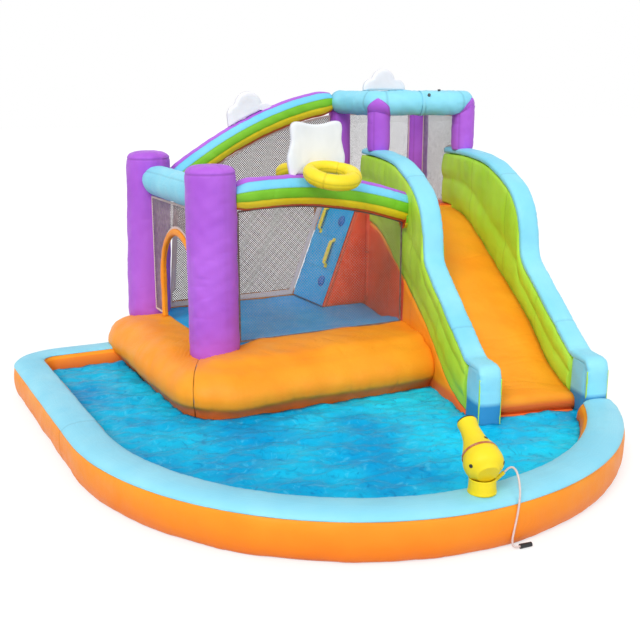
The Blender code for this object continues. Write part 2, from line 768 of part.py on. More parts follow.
RAMP_FOOT = Vector((RAMP_FOOT_X, 0.0, FLOOR_TOP + GAP))
RAMP_UP = (Vector((RAMP_TOP_X, 0.0, TOWER_TOP)) - RAMP_FOOT).normalized()
RAMP_OUT = RAMP_UP.cross(Vector((0.0, 1.0, 0.0)))
RAMP_OUT = RAMP_OUT if RAMP_OUT.x < 0 else -RAMP_OUT


def ramp_solid(grow):
    foot = FLOOR_TOP + GAP - grow
    top = TOWER_TOP + grow
    shift = grow / -RAMP_OUT.x
    far = SLIDE_HEAD.x - SLIDE_INNER
    outline = [(RAMP_FOOT_X - shift, foot), (RAMP_TOP_X - shift, top), (far, top), (far, foot)]
    start = Vector((0.0, RAMP_FRONT - grow, 0.0))
    depth = Vector((0.0, RAMP_BACK - RAMP_FRONT + 2 * grow, 0.0))
    return prism(on_plane(start, Vector((1.0, 0.0, 0.0)), outline), depth)


def ramp_point(along, y, rise):
    return RAMP_FOOT + RAMP_UP * along + RAMP_OUT * rise + Vector((0.0, y, 0.0))


def make_ramp(cuts):
    wedge = piece("climb_wedge", ramp_solid(0.0), ORANGE)
    carve(wedge, cuts["tower"])
    corners = [ramp_point(a, PANEL_FRONT, GAP) for a in (PANEL_LOW, PANEL_HIGH)]
    corners += [ramp_point(a, PANEL_BACK, GAP) for a in (PANEL_HIGH, PANEL_LOW)]
    piece("climb_panel", prism(corners, RAMP_OUT * PANEL_THICKNESS), FLOOR_BLUE)
    surface = PANEL_THICKNESS + 2 * GAP
    for name, (low, high, y) in HANDLES.items():
        bend = HANDLE_RISE - HANDLE_THICKNESS / 2
        line = ((low, 0.0), (low, bend * 0.5), (low + bend * 0.4, bend * 0.9), (low + bend, bend),
                (high - bend, bend), (high - bend * 0.4, bend * 0.9), (high, bend * 0.5), (high, 0.0))
        path = [ramp_point(a, y, surface + r) for a, r in line]
        half = HANDLE_WIDTH / 2
        thick = HANDLE_THICKNESS / 2
        section = [(thick, half * 0.6), (thick * 0.5, half), (-thick * 0.5, half), (-thick, half * 0.6),
                   (-thick, -half * 0.6), (-thick * 0.5, -half), (thick * 0.5, -half), (thick, -half * 0.6)]
        piece(name, sweep(path, section, Vector((0.0, 1.0, 0.0))), YELLOW)
    for name, (along, y) in HOLDS.items():
        profile = ((0.0, 0.0), (0.0, HOLD_RADIUS), (HOLD_HEIGHT * 0.6, HOLD_RADIUS * 0.85),
                   (HOLD_HEIGHT, HOLD_RADIUS * 0.45), (HOLD_HEIGHT, 0.0))
        piece(name, turned(profile, ramp_point(along, y, surface), RAMP_OUT, 16), FLOOR_BLUE)


# Nets


def net_panel(name, origin, right, outline, is_open, cuts):
    """A net of square gaps on an upright plane. is_open says which (across, z) points may lie in a gap."""
    out = right.cross(UP).normalized()
    start = origin - out * (NET_THICKNESS / 2)
    net = piece(name, prism(on_plane(start, right, outline), out * NET_THICKNESS), NET_GREY)
    across = [a for a, z in outline]
    heights = [z for a, z in outline]
    size = NET_PITCH - NET_STRAND
    columns = int((max(across) - min(across) - 2 * NET_HEM) / NET_PITCH)
    rows = int((max(heights) - min(heights) - 2 * NET_HEM) / NET_PITCH)
    left = min(across) + (max(across) - min(across) - columns * NET_PITCH + NET_STRAND) / 2
    low = min(heights) + NET_HEM
    holes = []
    for i in range(columns):
        for j in range(rows):
            a = left + i * NET_PITCH
            z = low + j * NET_PITCH
            corners = ((a, z), (a + size, z), (a + size, z + size), (a, z + size))
            if all(is_open(*corner) for corner in corners):
                holes.append(prism(on_plane(start - out * 0.02, right, corners), out * 0.05))
    carve(net, cutter(name + "_gaps", joined(holes)), *cuts)


def height_on(line, x):
    for (x1, z1), (x2, z2) in zip(line, line[1:]):
        if x1 <= x <= x2:
            return z1 + (z2 - z1) * (x - x1) / (x2 - x1)
    return min(z for _, z in line)


def make_nets(cuts):
    x_axis = Vector((1.0, 0.0, 0.0))
    left = POST_LINE_X + POST_RADIUS + GAP
    floor = BOLSTER_TOP + GAP

    under_front = offset_line(FRONT_ARCH, -(FRONT_ARCH_RADIUS + GAP))
    right = slide_left_x(FRONT_LINE_Y)
    top = clip_line(under_front, left, SLIDE_HEAD.x - SLIDE_HALF - 0.05)
    outline = [(left, floor), (top[-1][0], floor)] + top[::-1]
    net_panel("front_net", Vector((0.0, FRONT_LINE_Y, 0.0)), x_axis, outline,
              lambda x, z: left + NET_HEM < x < right - NET_HEM and z < height_on(under_front, x) - NET_HEM,
              [cuts["lane"]])

    under_back = offset_line(BACK_ARCH, -(BACK_ARCH_RADIUS + GAP))
    far = BACK_POST_LEFT_X - TOWER_POST_RADIUS - GAP
    top = clip_line(under_back, left, far)
    base = FLOOR_TOP + GAP
    outline = [(left, base), (far, base)] + top[::-1]
    slope = (RAMP_TOP_X - RAMP_FOOT_X) / (TOWER_TOP - FLOOR_TOP)
    net_panel("back_net", Vector((0.0, BACK_LINE_Y, 0.0)), x_axis, outline,
              lambda x, z: left + NET_HEM < x < far - NET_HEM and z < height_on(under_back, x) - NET_HEM
              and (x < RAMP_FOOT_X + (z - FLOOR_TOP) * slope - 1.3 * NET_HEM or z > TOWER_TOP + NET_HEM),
              [cuts["ramp"], cuts["tower_top"], cuts["tower_post_back_left"]])

    back_left, _, front_right, back_right = ring_corners()
    reach = TOWER_POST_RADIUS + GAP
    base = TOWER_TOP + GAP
    high = RING_Z - NET_HEM
    under_ring = RING_Z - RING_RADIUS
    span = (back_right - back_left).length
    outline = [(reach, base), (span - reach, base), (span - reach, high), (reach, high)]
    net_panel("tower_back_net", Vector((back_left.x, BACK_LINE_Y, 0.0)), x_axis, outline,
              lambda a, z: reach + NET_HEM < a < span - reach - NET_HEM and z < under_ring - NET_HEM,
              [cuts["ring"]])

    run = back_right - front_right
    span = run.length
    outline = [(reach, base), (span - reach, base), (span - reach, high), (reach, high)]
    net_panel("tower_right_net", front_right, run.normalized(), outline,
              lambda a, z: reach + NET_HEM < a < span - reach - NET_HEM and z < under_ring - NET_HEM
              and (a > -WALL_BACK + NET_HEM or z > RIM_PROFILE[0][1] + NET_HEM),
              [cuts["ring"], cuts["wall_head"]])


def door_line(grow):
    """(y, z) points up one side of the doorway, over its round top and down the other side."""
    middle = (DOOR_LEFT + DOOR_RIGHT) / 2
    radius = (DOOR_RIGHT - DOOR_LEFT) / 2
    spring = DOOR_TOP - radius
    line = [(middle - radius - grow, BOLSTER_TOP + GAP)]
    for i in range(17):
        angle = math.pi * (1 - i / 16)
        line.append((middle + (radius + grow) * math.cos(angle), spring + (radius + grow) * math.sin(angle)))
    line.append((middle + radius + grow, BOLSTER_TOP + GAP))
    return line


def make_entry():
    y_axis = Vector((0.0, 1.0, 0.0))
    front = FRONT_LINE_Y + POST_RADIUS + GAP
    back = BACK_LINE_Y - POST_RADIUS - GAP
    top = BEAM_Z - BEAM_RADIUS - GAP
    floor = BOLSTER_TOP + GAP
    outline = [(front, floor)] + door_line(0.0) + [(back, floor), (back, top), (front, top)]
    start = Vector((POST_LINE_X - NET_THICKNESS / 2, 0.0, 0.0))
    piece("entry_mesh", prism(on_plane(start, y_axis, outline), Vector((NET_THICKNESS, 0.0, 0.0))), NET_GREY)
    half_width = TRIM_WIDTH / 2
    half_depth = TRIM_DEPTH / 2
    path = on_plane(Vector((POST_LINE_X, 0.0, 0.0)), y_axis, door_line(-GAP - half_width))
    section = [(half_width, half_depth * 0.5), (half_width * 0.5, half_depth),
               (-half_width * 0.5, half_depth), (-half_width, half_depth * 0.5),
               (-half_width, -half_depth * 0.5), (-half_width * 0.5, -half_depth),
               (half_width * 0.5, -half_depth), (half_width, -half_depth * 0.5)]
    piece("entry_door_trim", sweep(path, section, Vector((1.0, 0.0, 0.0))), ORANGE)


# Pool


def pool_edge():
    """The pool wall's outer edge seen from above, from the slide round to the house's left side."""
    line = [Vector((POOL_START_X, POOL_BACK, 0.0))]
    centre = Vector((POOL_LEFT + POOL_CORNER, POOL_BACK - POOL_CORNER, 0.0))
    for i in range(7):
        angle = math.pi / 2 * (1 + i / 6)
        line.append(centre + Vector((math.cos(angle), math.sin(angle), 0.0)) * POOL_CORNER)
    left = POOL_OVAL.x - POOL_LEFT
    sides = 20
    for i in range(sides + 1):
        angle = math.pi * (1 + i / (2 * sides))
        line.append(POOL_OVAL + Vector((left * math.cos(angle), POOL_OVAL_FRONT * math.sin(angle), 0.0)))
    for i in range(1, sides + 1):
        angle = math.pi * 1.5 + math.radians(70.0) * i / sides
        reach = Vector((POOL_OVAL_RIGHT * math.cos(angle), POOL_OVAL_FRONT * math.sin(angle), 0.0))
        line.append(POOL_OVAL + reach)
    return line[::-1]


def pool_section(grow):
    """(across, z) points of the wall, with 0 at its outer edge and the pool on the negative side."""
    half = POOL_WALL_WIDTH / 2
    foot = bulge((0.0, POOL_BULGE_Z), (half - POOL_WALL_FOOT / 2, 0.0), 1.6, 3)[::-1]
    head = bulge((0.0, POOL_BULGE_Z), (half - RIM_PANEL_WIDTH / 2, POOL_WALL_HEIGHT), 1.7, 3)[1:]
    outer = [(-inset + grow, z) for inset, z in foot + head]
    inner = [(-POOL_WALL_WIDTH + inset - grow, z) for inset, z in foot + head]
    section = outer + inner[::-1]
    return [(a, z - grow if z == 0.0 else z) for a, z in section]


def make_pool(cuts):
    path = pool_edge()
    wall = piece("pool_wall", sweep(path, pool_section(0.0), UP), ORANGE)
    for_floor = cutter("pool_wall", sweep(path, pool_section(GAP), UP))
    half = POOL_WALL_WIDTH / 2
    low = POOL_WALL_HEIGHT + GAP
    strip = [(-half + RIM_PANEL_WIDTH / 2, low), (-half + RIM_PANEL_WIDTH / 2, low + RIM_PANEL_THICKNESS),
             (-half - RIM_PANEL_WIDTH / 2, low + RIM_PANEL_THICKNESS), (-half - RIM_PANEL_WIDTH / 2, low)]
    panel = piece("pool_rim_panel", sweep(path, strip, UP), LIGHT_BLUE)
    outline = [slide_point(s, t, -0.1) for s, t in
               ((0.5, -0.3), (0.5, 1.2), (BLOCK_END + GAP, 1.2), (BLOCK_END + GAP, -0.3))]
    end_cut = cutter("pool_end", prism(outline, UP * 1.0))
    for obj in (wall, panel):
        carve(obj, cuts["pillow_grown"], end_cut)
    middle = []
    for i in range(len(path)):
        tangent, widen = mitred(path, i, False)
        middle.append(path[i] - UP.cross(tangent) * (POOL_WALL_WIDTH / 2) * widen)
    closing = [Vector((FLOOR_LEFT, POOL_BACK - POOL_WALL_WIDTH, 0.0)), Vector((0.2, FLOOR_FRONT, 0.0)),
               slide_point(1.0, -SLIDE_INNER, 0.0), slide_point(1.8, SLIDE_INNER, 0.0)]
    floor = piece("pool_floor", prism(middle + closing, UP * POOL_FLOOR_THICKNESS), FLOOR_BLUE)
    carve(floor, cuts["pillow_grown"], cuts["lane_short"], for_floor, cuts["pool_outside"])


# Backboard, hoops and clouds


def side_wave(share):
    """How far a side of the backboard swings out at this share of its height."""
    lobe = 2 * math.sin(math.pi * share) ** 2 - math.sin(2 * math.pi * share) ** 2
    return lobe * BOARD_WAVE / 2


def make_board():
    arch_top = offset_line(FRONT_ARCH, FRONT_ARCH_RADIUS + GAP)
    left = BOARD_X - BOARD_HALF
    right = BOARD_X + BOARD_HALF
    bottom = clip_line(arch_top, left, right)
    low = height_on(arch_top, left)
    points = list(bottom)
    steps = 12
    for i in range(1, steps):
        share = i / steps
        points.append((right + side_wave(share), low + (BOARD_TOP - low) * share))
    for i in range(steps + 1):
        share = i / steps
        dip = BOARD_WAVE * math.sin(math.pi * share) ** 2
        points.append((right - (right - left) * share, BOARD_TOP - dip))
    for i in range(steps - 1, 0, -1):
        share = i / steps
        points.append((left - side_wave(share), low + (BOARD_TOP - low) * share))
    start = Vector((0.0, FRONT_LINE_Y - BOARD_THICKNESS / 2, 0.0))
    outline = on_plane(start, Vector((1.0, 0.0, 0.0)), points)
    piece("backboard", prism(outline, Vector((0.0, BOARD_THICKNESS, 0.0))), WHITE)


def make_hoops():
    away = BOARD_THICKNESS / 2 + HOOP_TUBE_RADIUS + GAP
    for name, sign in (("outer_hoop", -1.0), ("inner_hoop", 1.0)):
        hinge = Vector((HOOP_X, FRONT_LINE_Y + sign * away, HOOP_HINGE_Z))
        reach = Vector((0.0, sign * math.cos(HOOP_DROOP), -math.sin(HOOP_DROOP)))
        centre = hinge + reach * HOOP_RING_RADIUS
        side = Vector((1.0, 0.0, 0.0))
        count = 26
        path = []
        for i in range(count):
            angle = 2 * math.pi * i / count
            path.append(centre + (side * math.sin(angle) - reach * math.cos(angle)) * HOOP_RING_RADIUS)
        section = circle_section(HOOP_TUBE_RADIUS, 10, sign * HOOP_DROOP)
        piece(name, sweep(path, section, side.cross(reach), closed=True), YELLOW, pivot=hinge)


def cloud_outline(balls, base_line):
    """The upper edge of a group of balls, closed along a base line of (x, z) points."""
    left = min(x - r for x, z, r in balls)
    right = max(x + r for x, z, r in balls)
    top = []
    count = 26
    for i in range(count + 1):
        x = left + (right - left) * (1 - math.cos(math.pi * i / count)) / 2
        inside = [(z, r * r - (x - bx) ** 2) for bx, z, r in balls if abs(x - bx) <= r + 1e-9]
        top.append((x, max(z + math.sqrt(max(rest, 0.0)) for z, rest in inside)))
    bottom = clip_line(base_line, left, right)
    return bottom + top[::-1]


def make_clouds(cuts):
    ring_line = [(BACK_POST_LEFT_X, RING_Z), (BACK_POST_RIGHT_X, RING_Z)]
    arch_tube = cutter("back_arch", arch_solid(BACK_ARCH, BACK_LINE_Y, BACK_ARCH_RADIUS + GAP))
    rows = (("cloud_left", CLOUD_LEFT_BALLS, BACK_ARCH, BACK_LINE_Y, arch_tube),
            ("cloud_rear", CLOUD_REAR_BALLS, ring_line, ring_path()[-1].y, cuts["ring"]))
    for name, balls, line, y, tube in rows:
        start = Vector((0.0, y - CLOUD_THICKNESS / 2, 0.0))
        outline = on_plane(start, Vector((1.0, 0.0, 0.0)), cloud_outline(balls, line))
        carve(piece(name, prism(outline, Vector((0.0, CLOUD_THICKNESS, 0.0))), CLOUD_GREY), tube)


# Water cannon


def cannon_start():
    return CANNON_PIVOT - CANNON_DIRECTION * CANNON_BULGE_AT


def cannon_radius(along):
    for (a1, r1), (a2, r2) in zip(CANNON_PROFILE, CANNON_PROFILE[1:]):
        if a1 <= along <= a2:
            return r1 + (r2 - r1) * (along - a1) / (a2 - a1)
    return CANNON_PROFILE[-1][1]


def head_solid(grow):
    length = CANNON_PROFILE[-1][0]
    profile = [(0.0 - grow, 0.0)] + [(a, r + grow) for a, r in CANNON_PROFILE] + [(length + grow, 0.0)]
    profile[1] = (-grow, CANNON_PROFILE[0][1] + grow)
    profile[-2] = (length + grow, CANNON_PROFILE[-1][1] + grow)
    return turned(profile, cannon_start(), CANNON_DIRECTION, CANNON_SIDES)


def make_cannon():
    length = CANNON_PROFILE[-1][0]
    bottom = length - CANNON_BORE_DEPTH
    bore = [(length, CANNON_BORE), (bottom, CANNON_BORE), (bottom, 0.0)]
    profile = [(0.0, 0.0)] + list(CANNON_PROFILE) + bore
    head = turned(profile, cannon_start(), CANNON_DIRECTION, CANNON_SIDES)
    piece("cannon_head", head, YELLOW, pivot=CANNON_PIVOT)
    head_cut = cutter("cannon_head", head_solid(GAP))

    rest = POOL_WALL_HEIGHT + RIM_PANEL_THICKNESS + 2 * GAP
    socket = CANNON_BULGE + SOCKET_CLEARANCE
    mouth = NECK_TOP_RADIUS - NECK_LIP
    height = CANNON_PIVOT.z - math.sqrt(socket**2 - mouth**2) - rest
    profile = [(0.0, 0.0), (0.0, NECK_FOOT_RADIUS), (height, NECK_TOP_RADIUS)]
    for i in range(6):
        radius = mouth * (1 - i / 5)
        profile.append((CANNON_PIVOT.z - math.sqrt(socket**2 - radius**2) - rest, radius))
    neck_axis = Vector((CANNON_PIVOT.x, CANNON_PIVOT.y, rest))
    piece("cannon_neck", turned(profile, neck_axis, UP, 28), YELLOW)

    middle = cannon_start() + CANNON_DIRECTION * (length + GAP + MUZZLE_RING_LENGTH / 2)
    rim = CANNON_PROFILE[-1][1] - MUZZLE_RING_STEP
    ring = collar(middle, CANNON_DIRECTION, CANNON_BORE, rim, MUZZLE_RING_LENGTH, 28)
    piece("cannon_muzzle_ring", ring, BLACK, pivot=CANNON_PIVOT)

    side = CANNON_DIRECTION.cross(UP).normalized()
    top = side.cross(CANNON_DIRECTION)
    for name, (along, degrees) in EYES.items():
        angle = math.radians(degrees)
        radial = side * math.cos(angle) + top * math.sin(angle)
        radius = cannon_radius(along)
        slope = (cannon_radius(along + 0.01) - cannon_radius(along - 0.01)) / 0.02
        facing = (radial - CANNON_DIRECTION * slope).normalized()
        foot = cannon_start() + CANNON_DIRECTION * along + radial * radius - facing * EYE_ROOT
        end = EYE_ROOT + EYE_PROUD
        dot = turned(((0.0, 0.0), (0.0, EYE_RADIUS), (end, EYE_RADIUS), (end, 0.0)), foot, facing, 12)
        carve(piece(name, dot, BLACK, pivot=CANNON_PIVOT), head_cut)
    ends = [BRIDLE_AT - BRIDLE_WIDTH / 2, BRIDLE_AT + BRIDLE_WIDTH / 2]
    inner = [(a, cannon_radius(a) + 2 * GAP) for a in ends]
    outer = [(a, r + BRIDLE_THICKNESS) for a, r in inner[::-1]]
    strap = turned(inner + outer, cannon_start(), CANNON_DIRECTION, CANNON_SIDES, closed=True)
    piece("cannon_strap", strap, BROWN, pivot=CANNON_PIVOT)

    around = ((0.0, 0.0), (0.0, NECK_FOOT_RADIUS + GAP), (height, NECK_TOP_RADIUS + GAP), (height, 0.0))
    neck_cut = cutter("cannon_neck", turned(around, neck_axis, UP, 28))
    run = FITTING_END - FITTING_START
    profile = ((0.0, 0.0), (0.0, FITTING_RADIUS), (run.length, FITTING_RADIUS), (run.length, 0.0))
    fitting = piece("cannon_fitting", turned(profile, FITTING_START, run, 14), YELLOW)
    carve(fitting, neck_cut)


def make_hose():
    route = smooth_curve(HOSE_ROUTE, 0.002)
    lengths = [0.0]
    for a, b in zip(route, route[1:]):
        lengths.append(lengths[-1] + (b - a).length)
    points = []
    for i in range(HOSE_POINTS):
        goal = lengths[-1] * i / (HOSE_POINTS - 1)
        k = max(j for j in range(len(lengths)) if lengths[j] <= goal + 1e-9)
        k = min(k, len(route) - 2)
        share = (goal - lengths[k]) / (lengths[k + 1] - lengths[k])
        points.append(route[k].lerp(route[k + 1], share))
    curve = bpy.data.curves.new("hose", "CURVE")
    curve.dimensions = "3D"
    curve.bevel_depth = HOSE_RADIUS
    curve.bevel_resolution = 2
    curve.use_fill_caps = True
    spline = curve.splines.new("POLY")
    spline.points.add(len(points) - 1)
    for target, p in zip(spline.points, points):
        target.co = (*p, 1.0)
    hose = bpy.data.objects.new("hose", curve)
    bpy.context.scene.collection.objects.link(hose)
    hose.parent = bpy.data.objects["layout_origin"]
    curve.materials.append(make_material("hose", HOSE_CLEAR))
    end = Vector(HOSE_ROUTE[-1])
    direction = (end - Vector(HOSE_ROUTE[-2])).normalized()
    direction.z = 0.0
    start = end + direction * GAP
    profile = ((0.0, 0.0), (0.0, CONNECTOR_RADIUS), (CONNECTOR_LENGTH, CONNECTOR_RADIUS * 0.9),
               (CONNECTOR_LENGTH, 0.0))
    piece("hose_connector", turned(profile, start, direction, 14), BLACK)


# Air inlet


def make_inlet(cuts):
    start = Vector((INLET_X, BASE_BACK - INLET_ROOT, INLET_Z))
    length = INLET_ROOT + INLET_LENGTH
    waist = length - INLET_TAIL
    outer = [(0.0, INLET_RADIUS), (waist - INLET_TAIL, INLET_RADIUS), (waist - STRAP_WIDTH / 2, INLET_WAIST),
             (waist + STRAP_WIDTH / 2, INLET_WAIST), (length, INLET_MOUTH)]
    inner = [(a, r - INLET_WALL) for a, r in outer[::-1]]
    back = Vector((0.0, 1.0, 0.0))
    sleeve = piece("air_inlet_sleeve", turned(outer + inner, start, back, 20, closed=True), ORANGE)
    carve(sleeve, cuts["pillow_grown"])
    tied = INLET_WAIST + GAP
    strap = collar(start + back * waist, back, tied, tied + STRAP_THICKNESS, STRAP_WIDTH * 0.8, 20)
    piece("inlet_strap", strap, BLACK)


def make_cuts():
    cuts = {"pillow_grown": cutter("pillow_grown", base_pillow(GAP))}
    base = cutter("base", base_pillow(GAP))
    well = cutter("floor_well", box((FLOOR_LEFT + GAP, FLOOR_FRONT + GAP, FLOOR_TOP + GAP),
                                    (SLIDE_HEAD.x - 0.2, FLOOR_BACK - GAP, 1.0)))
    carve(base, well)
    cuts["base"] = base
    bed_end = BED_PROFILE[-1][0]
    cuts["lane"] = cutter("lane", slide_lane(-0.02, bed_end + 0.3))
    cuts["lane_short"] = cutter("lane_short", slide_lane(-0.02, bed_end + GAP))
    cuts["lane_wide"] = cutter("lane_wide", slide_lane(-0.02, bed_end + 0.3, CHAMBER_WALL))
    cuts["tower"] = cutter("tower", prism([p - UP * 0.1 for p in tower_outline(GAP)], UP * 1.5))
    around = [p - UP * 0.1 for p in tower_outline(CHAMBER_WALL)]
    cuts["tower_wide"] = cutter("tower_wide", prism(around, UP * 1.5))
    reach = 4 * CHAMBER_WALL
    middle_x = (FLOOR_LEFT + TOWER_BACK_LEFT) / 2
    middle_y = (FLOOR_FRONT + FLOOR_BACK) / 2
    tower_side_x = (TOWER_BACK_LEFT + slide_left_x(SLIDE_HEAD.y)) / 2
    vents = {"front_bolster_vent": (Vector((middle_x, FLOOR_FRONT, VENT_Z)), Vector((0.0, 1.0, 0.0))),
             "left_bolster_vent": (Vector((FLOOR_LEFT, middle_y, VENT_Z)), Vector((1.0, 0.0, 0.0))),
             "back_bolster_vent": (Vector((INLET_X, FLOOR_BACK, VENT_Z)), Vector((0.0, 1.0, 0.0))),
             "tower_vent": (slide_point(0.0, 0.0, VENT_Z), DOWN_SLIDE),
             "floor_to_tower_vent": (Vector((tower_side_x, middle_y, VENT_Z)),
                                     Vector((1.0, 0.0, 0.0))),
             "inlet": (Vector((INLET_X, BASE_BACK, INLET_Z)), Vector((0.0, 1.0, 0.0)))}
    for name, (place, direction) in vents.items():
        profile = ((-reach, 0.0), (-reach, VENT_RADIUS), (reach, VENT_RADIUS), (reach, 0.0))
        cuts[name] = cutter(name, turned(profile, place, direction, 12))
    under = [p - UP * 0.1 for p in tower_outline(GAP)]
    cuts["tower_top"] = cutter("tower_top", prism(under, UP * (TOWER_TOP + GAP + 0.1)))
    cuts["ring"] = cutter("ring", ring_solid(GAP))
    cuts["ramp"] = cutter("ramp", ramp_solid(GAP))
    post = tower_post_solid(ring_corners()[0], TOWER_TOP - 0.1, GAP)
    cuts["tower_post_back_left"] = cutter("tower_post", post)
    right_of_slide = [slide_point(s, t, -0.1) for s, t in
                      ((-1.0, 0.0), (-1.0, 2.0), (BLOCK_END, 2.0), (BLOCK_END, SLIDE_HALF), (1.5, SLIDE_HALF),
                       (1.5, 0.0))]
    cuts["pool_outside"] = cutter("pool_outside", prism(right_of_slide, UP * 0.5))
    return cuts


def main():
    clear_scene()
    origin = bpy.data.objects.new("layout_origin", None)
    bpy.context.scene.collection.objects.link(origin)
    cuts = make_cuts()
    make_base(cuts)
    make_floor(cuts)
    make_slide(cuts)
    make_tower(cuts)
    make_ring_details(cuts)
    make_posts(cuts)
    make_ramp(cuts)
    make_nets(cuts)
    make_entry()
    make_pool(cuts)
    make_board()
    make_hoops()
    make_clouds(cuts)
    make_cannon()
    make_hose()
    make_inlet(cuts)
    front = POOL_OVAL.y - POOL_OVAL_FRONT
    back = BASE_BACK + INLET_LENGTH
    right = max(TOWER_BACK_RIGHT, max(p.x for p in ring_path()) + RING_RADIUS)
    origin.location = (-(POOL_LEFT + right) / 2, -(front + back) / 2, 0.0)


main()
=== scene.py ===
"""Looks of the inflatable playhouse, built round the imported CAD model.

Metres, +Z up. Places are in the layout frame of the part's source, and ORIGIN carries them
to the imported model, as the source does with its own layout.
"""

import math

import bpy
import numpy as np
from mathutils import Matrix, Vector
from mathutils.geometry import delaunay_2d_cdt


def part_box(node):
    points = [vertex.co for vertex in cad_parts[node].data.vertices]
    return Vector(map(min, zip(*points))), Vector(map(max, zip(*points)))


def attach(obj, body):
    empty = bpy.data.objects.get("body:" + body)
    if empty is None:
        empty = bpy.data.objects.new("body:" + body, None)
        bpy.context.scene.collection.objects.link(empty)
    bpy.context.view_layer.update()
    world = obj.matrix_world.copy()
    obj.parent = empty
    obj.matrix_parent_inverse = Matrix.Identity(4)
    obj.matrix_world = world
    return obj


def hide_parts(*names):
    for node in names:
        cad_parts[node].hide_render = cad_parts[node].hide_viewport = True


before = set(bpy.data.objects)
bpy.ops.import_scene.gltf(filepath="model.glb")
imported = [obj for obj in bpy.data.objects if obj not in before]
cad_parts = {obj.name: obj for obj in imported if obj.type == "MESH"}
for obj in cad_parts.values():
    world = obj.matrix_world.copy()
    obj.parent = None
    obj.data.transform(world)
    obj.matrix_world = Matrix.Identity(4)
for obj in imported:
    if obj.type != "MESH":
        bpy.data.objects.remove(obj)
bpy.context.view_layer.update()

# Named sizes, the same as in the part's source
GAP = 0.0003
POST_LINE_X = -0.635
FRONT_LINE_Y = 0.374
BACK_LINE_Y = 1.697
POST_RADIUS = 0.155
POST_SHOULDER_Z = 1.505
POST_DOME = 0.055
FLOOR_TOP = 0.38
FLOOR_LEFT = -0.60
FLOOR_FRONT = 0.64
FLOOR_BACK = 1.72
BASE_LEFT = -1.03
BASE_FRONT = -0.245
BASE_BACK = 2.00
BASE_CORNER = 0.36
BOLSTER_TOP = 0.42
BEAM_Z = 1.365
BEAM_RADIUS = 0.105
FRONT_ARCH = dict(radius=0.098, top=(-0.17, 1.378), curve=0.185)
BACK_ARCH = dict(radius=0.095, top=(1.15, 1.903), curve=0.235)
NET_HEM = 0.04
DOOR_LEFT = 0.70
DOOR_RIGHT = 1.31
DOOR_TOP = 1.04
TRIM_WIDTH = 0.045
TRIM_DEPTH = 0.04
SLIDE_HEAD = np.array((1.32, 1.07, 0.0))
SLIDE_TURN = math.radians(13.0)
SLIDE_HALF = 0.40
SLIDE_INNER = 0.27
BED_THICKNESS = 0.10
BED_CROWN = 0.025
BED_PROFILE = ((0.0, 1.12), (0.06, 1.12), (0.28, 1.08), (0.60, 0.945), (0.886, 0.80), (1.34, 0.578),
               (1.65, 0.361), (1.85, 0.282), (2.03, 0.245))
WALL_BACK = -0.20
RIM_HEIGHT = 0.04
RIM_PROFILE = ((-0.20, 1.54), (0.20, 1.54), (0.55, 1.51), (0.80, 1.44), (0.98, 1.36), (1.10, 1.25),
               (1.16, 1.12), (1.19, 0.98), (1.25, 0.90), (1.40, 0.80), (1.545, 0.712), (1.72, 0.60),
               (1.885, 0.50), (1.93, 0.478))
BLOCK_BACK = 1.93
BLOCK_TOP = 0.478
BLOCK_END = 2.15
TOWER_TOP = 1.12
TOWER_BACK_LEFT = 0.88
TOWER_BACK_RIGHT = 1.80
TOWER_POST_RADIUS = 0.081
TOWER_POST_INSET = 0.334
BACK_POST_LEFT_X = 0.965
BACK_POST_RIGHT_X = 1.70
RING_Z = 1.885
RING_RADIUS = 0.088
RING_CORNER = 0.10
RING_PUSH = 0.034
RAMP_FOOT_X = 0.545
RAMP_TOP_X = 0.833
RAMP_FRONT = 1.19
RAMP_BACK = 1.71
PANEL_FRONT = 1.195
PANEL_BACK = 1.69
PANEL_LOW = 0.015
PANEL_HIGH = 0.785
PANEL_THICKNESS = 0.008
HANDLES = {"climb_handle_upper": (0.562, 0.742, 1.573), "climb_handle_lower": (0.318, 0.510, 1.323)}
HANDLE_WIDTH = 0.034
HANDLE_THICKNESS = 0.016
HANDLE_RISE = 0.036
HOLDS = {"climb_hold_upper": (0.672, 1.311), "climb_hold_lower": (0.193, 1.309)}
HOLD_RADIUS = 0.042
POOL_LEFT = -1.72
POOL_BACK = 1.52
POOL_CORNER = 0.30
POOL_OVAL = (-0.18, -0.30)
POOL_OVAL_RIGHT = 1.67
POOL_OVAL_FRONT = 1.68
POOL_WALL_WIDTH = 0.235
WATER_Z = 0.145
BOARD_X = 0.08
BOARD_HALF = 0.17
BOARD_TOP = 1.80
BOARD_THICKNESS = 0.04
HOOP_X = 0.09
HOOP_HINGE_Z = 1.52
HOOP_RING_RADIUS = 0.145
HOOP_TUBE_RADIUS = 0.04
HOOP_DROOP = math.radians(16.0)
CLOUD_THICKNESS = 0.05
CLOUDS = {"cloud_left": ((0.186, 1.86, 0.11), (0.088, 1.80, 0.072), (0.322, 1.815, 0.070)),
          "cloud_rear": ((1.370, 2.03, 0.111), (1.258, 1.99, 0.071), (1.500, 1.985, 0.075))}
CANNON_PIVOT = np.array((-0.234, -1.863, 0.39))
CANNON_DIRECTION = np.array((0.201, 0.839, 0.503))
CANNON_BULGE_AT = 0.07
CANNON_PROFILE = ((0.0, 0.052), (0.01, 0.060), (0.035, 0.0845), (0.07, 0.0915), (0.10, 0.0864), (0.13, 0.078),
                  (0.16, 0.065), (0.19, 0.055), (0.24, 0.046), (0.27, 0.0445), (0.30, 0.048))
CANNON_BORE = 0.030
CANNON_BORE_DEPTH = 0.05
BRIDLE_AT = 0.118
BRIDLE_WIDTH = 0.014
HOSE_RADIUS = 0.005
HOSE_POINTS = 36
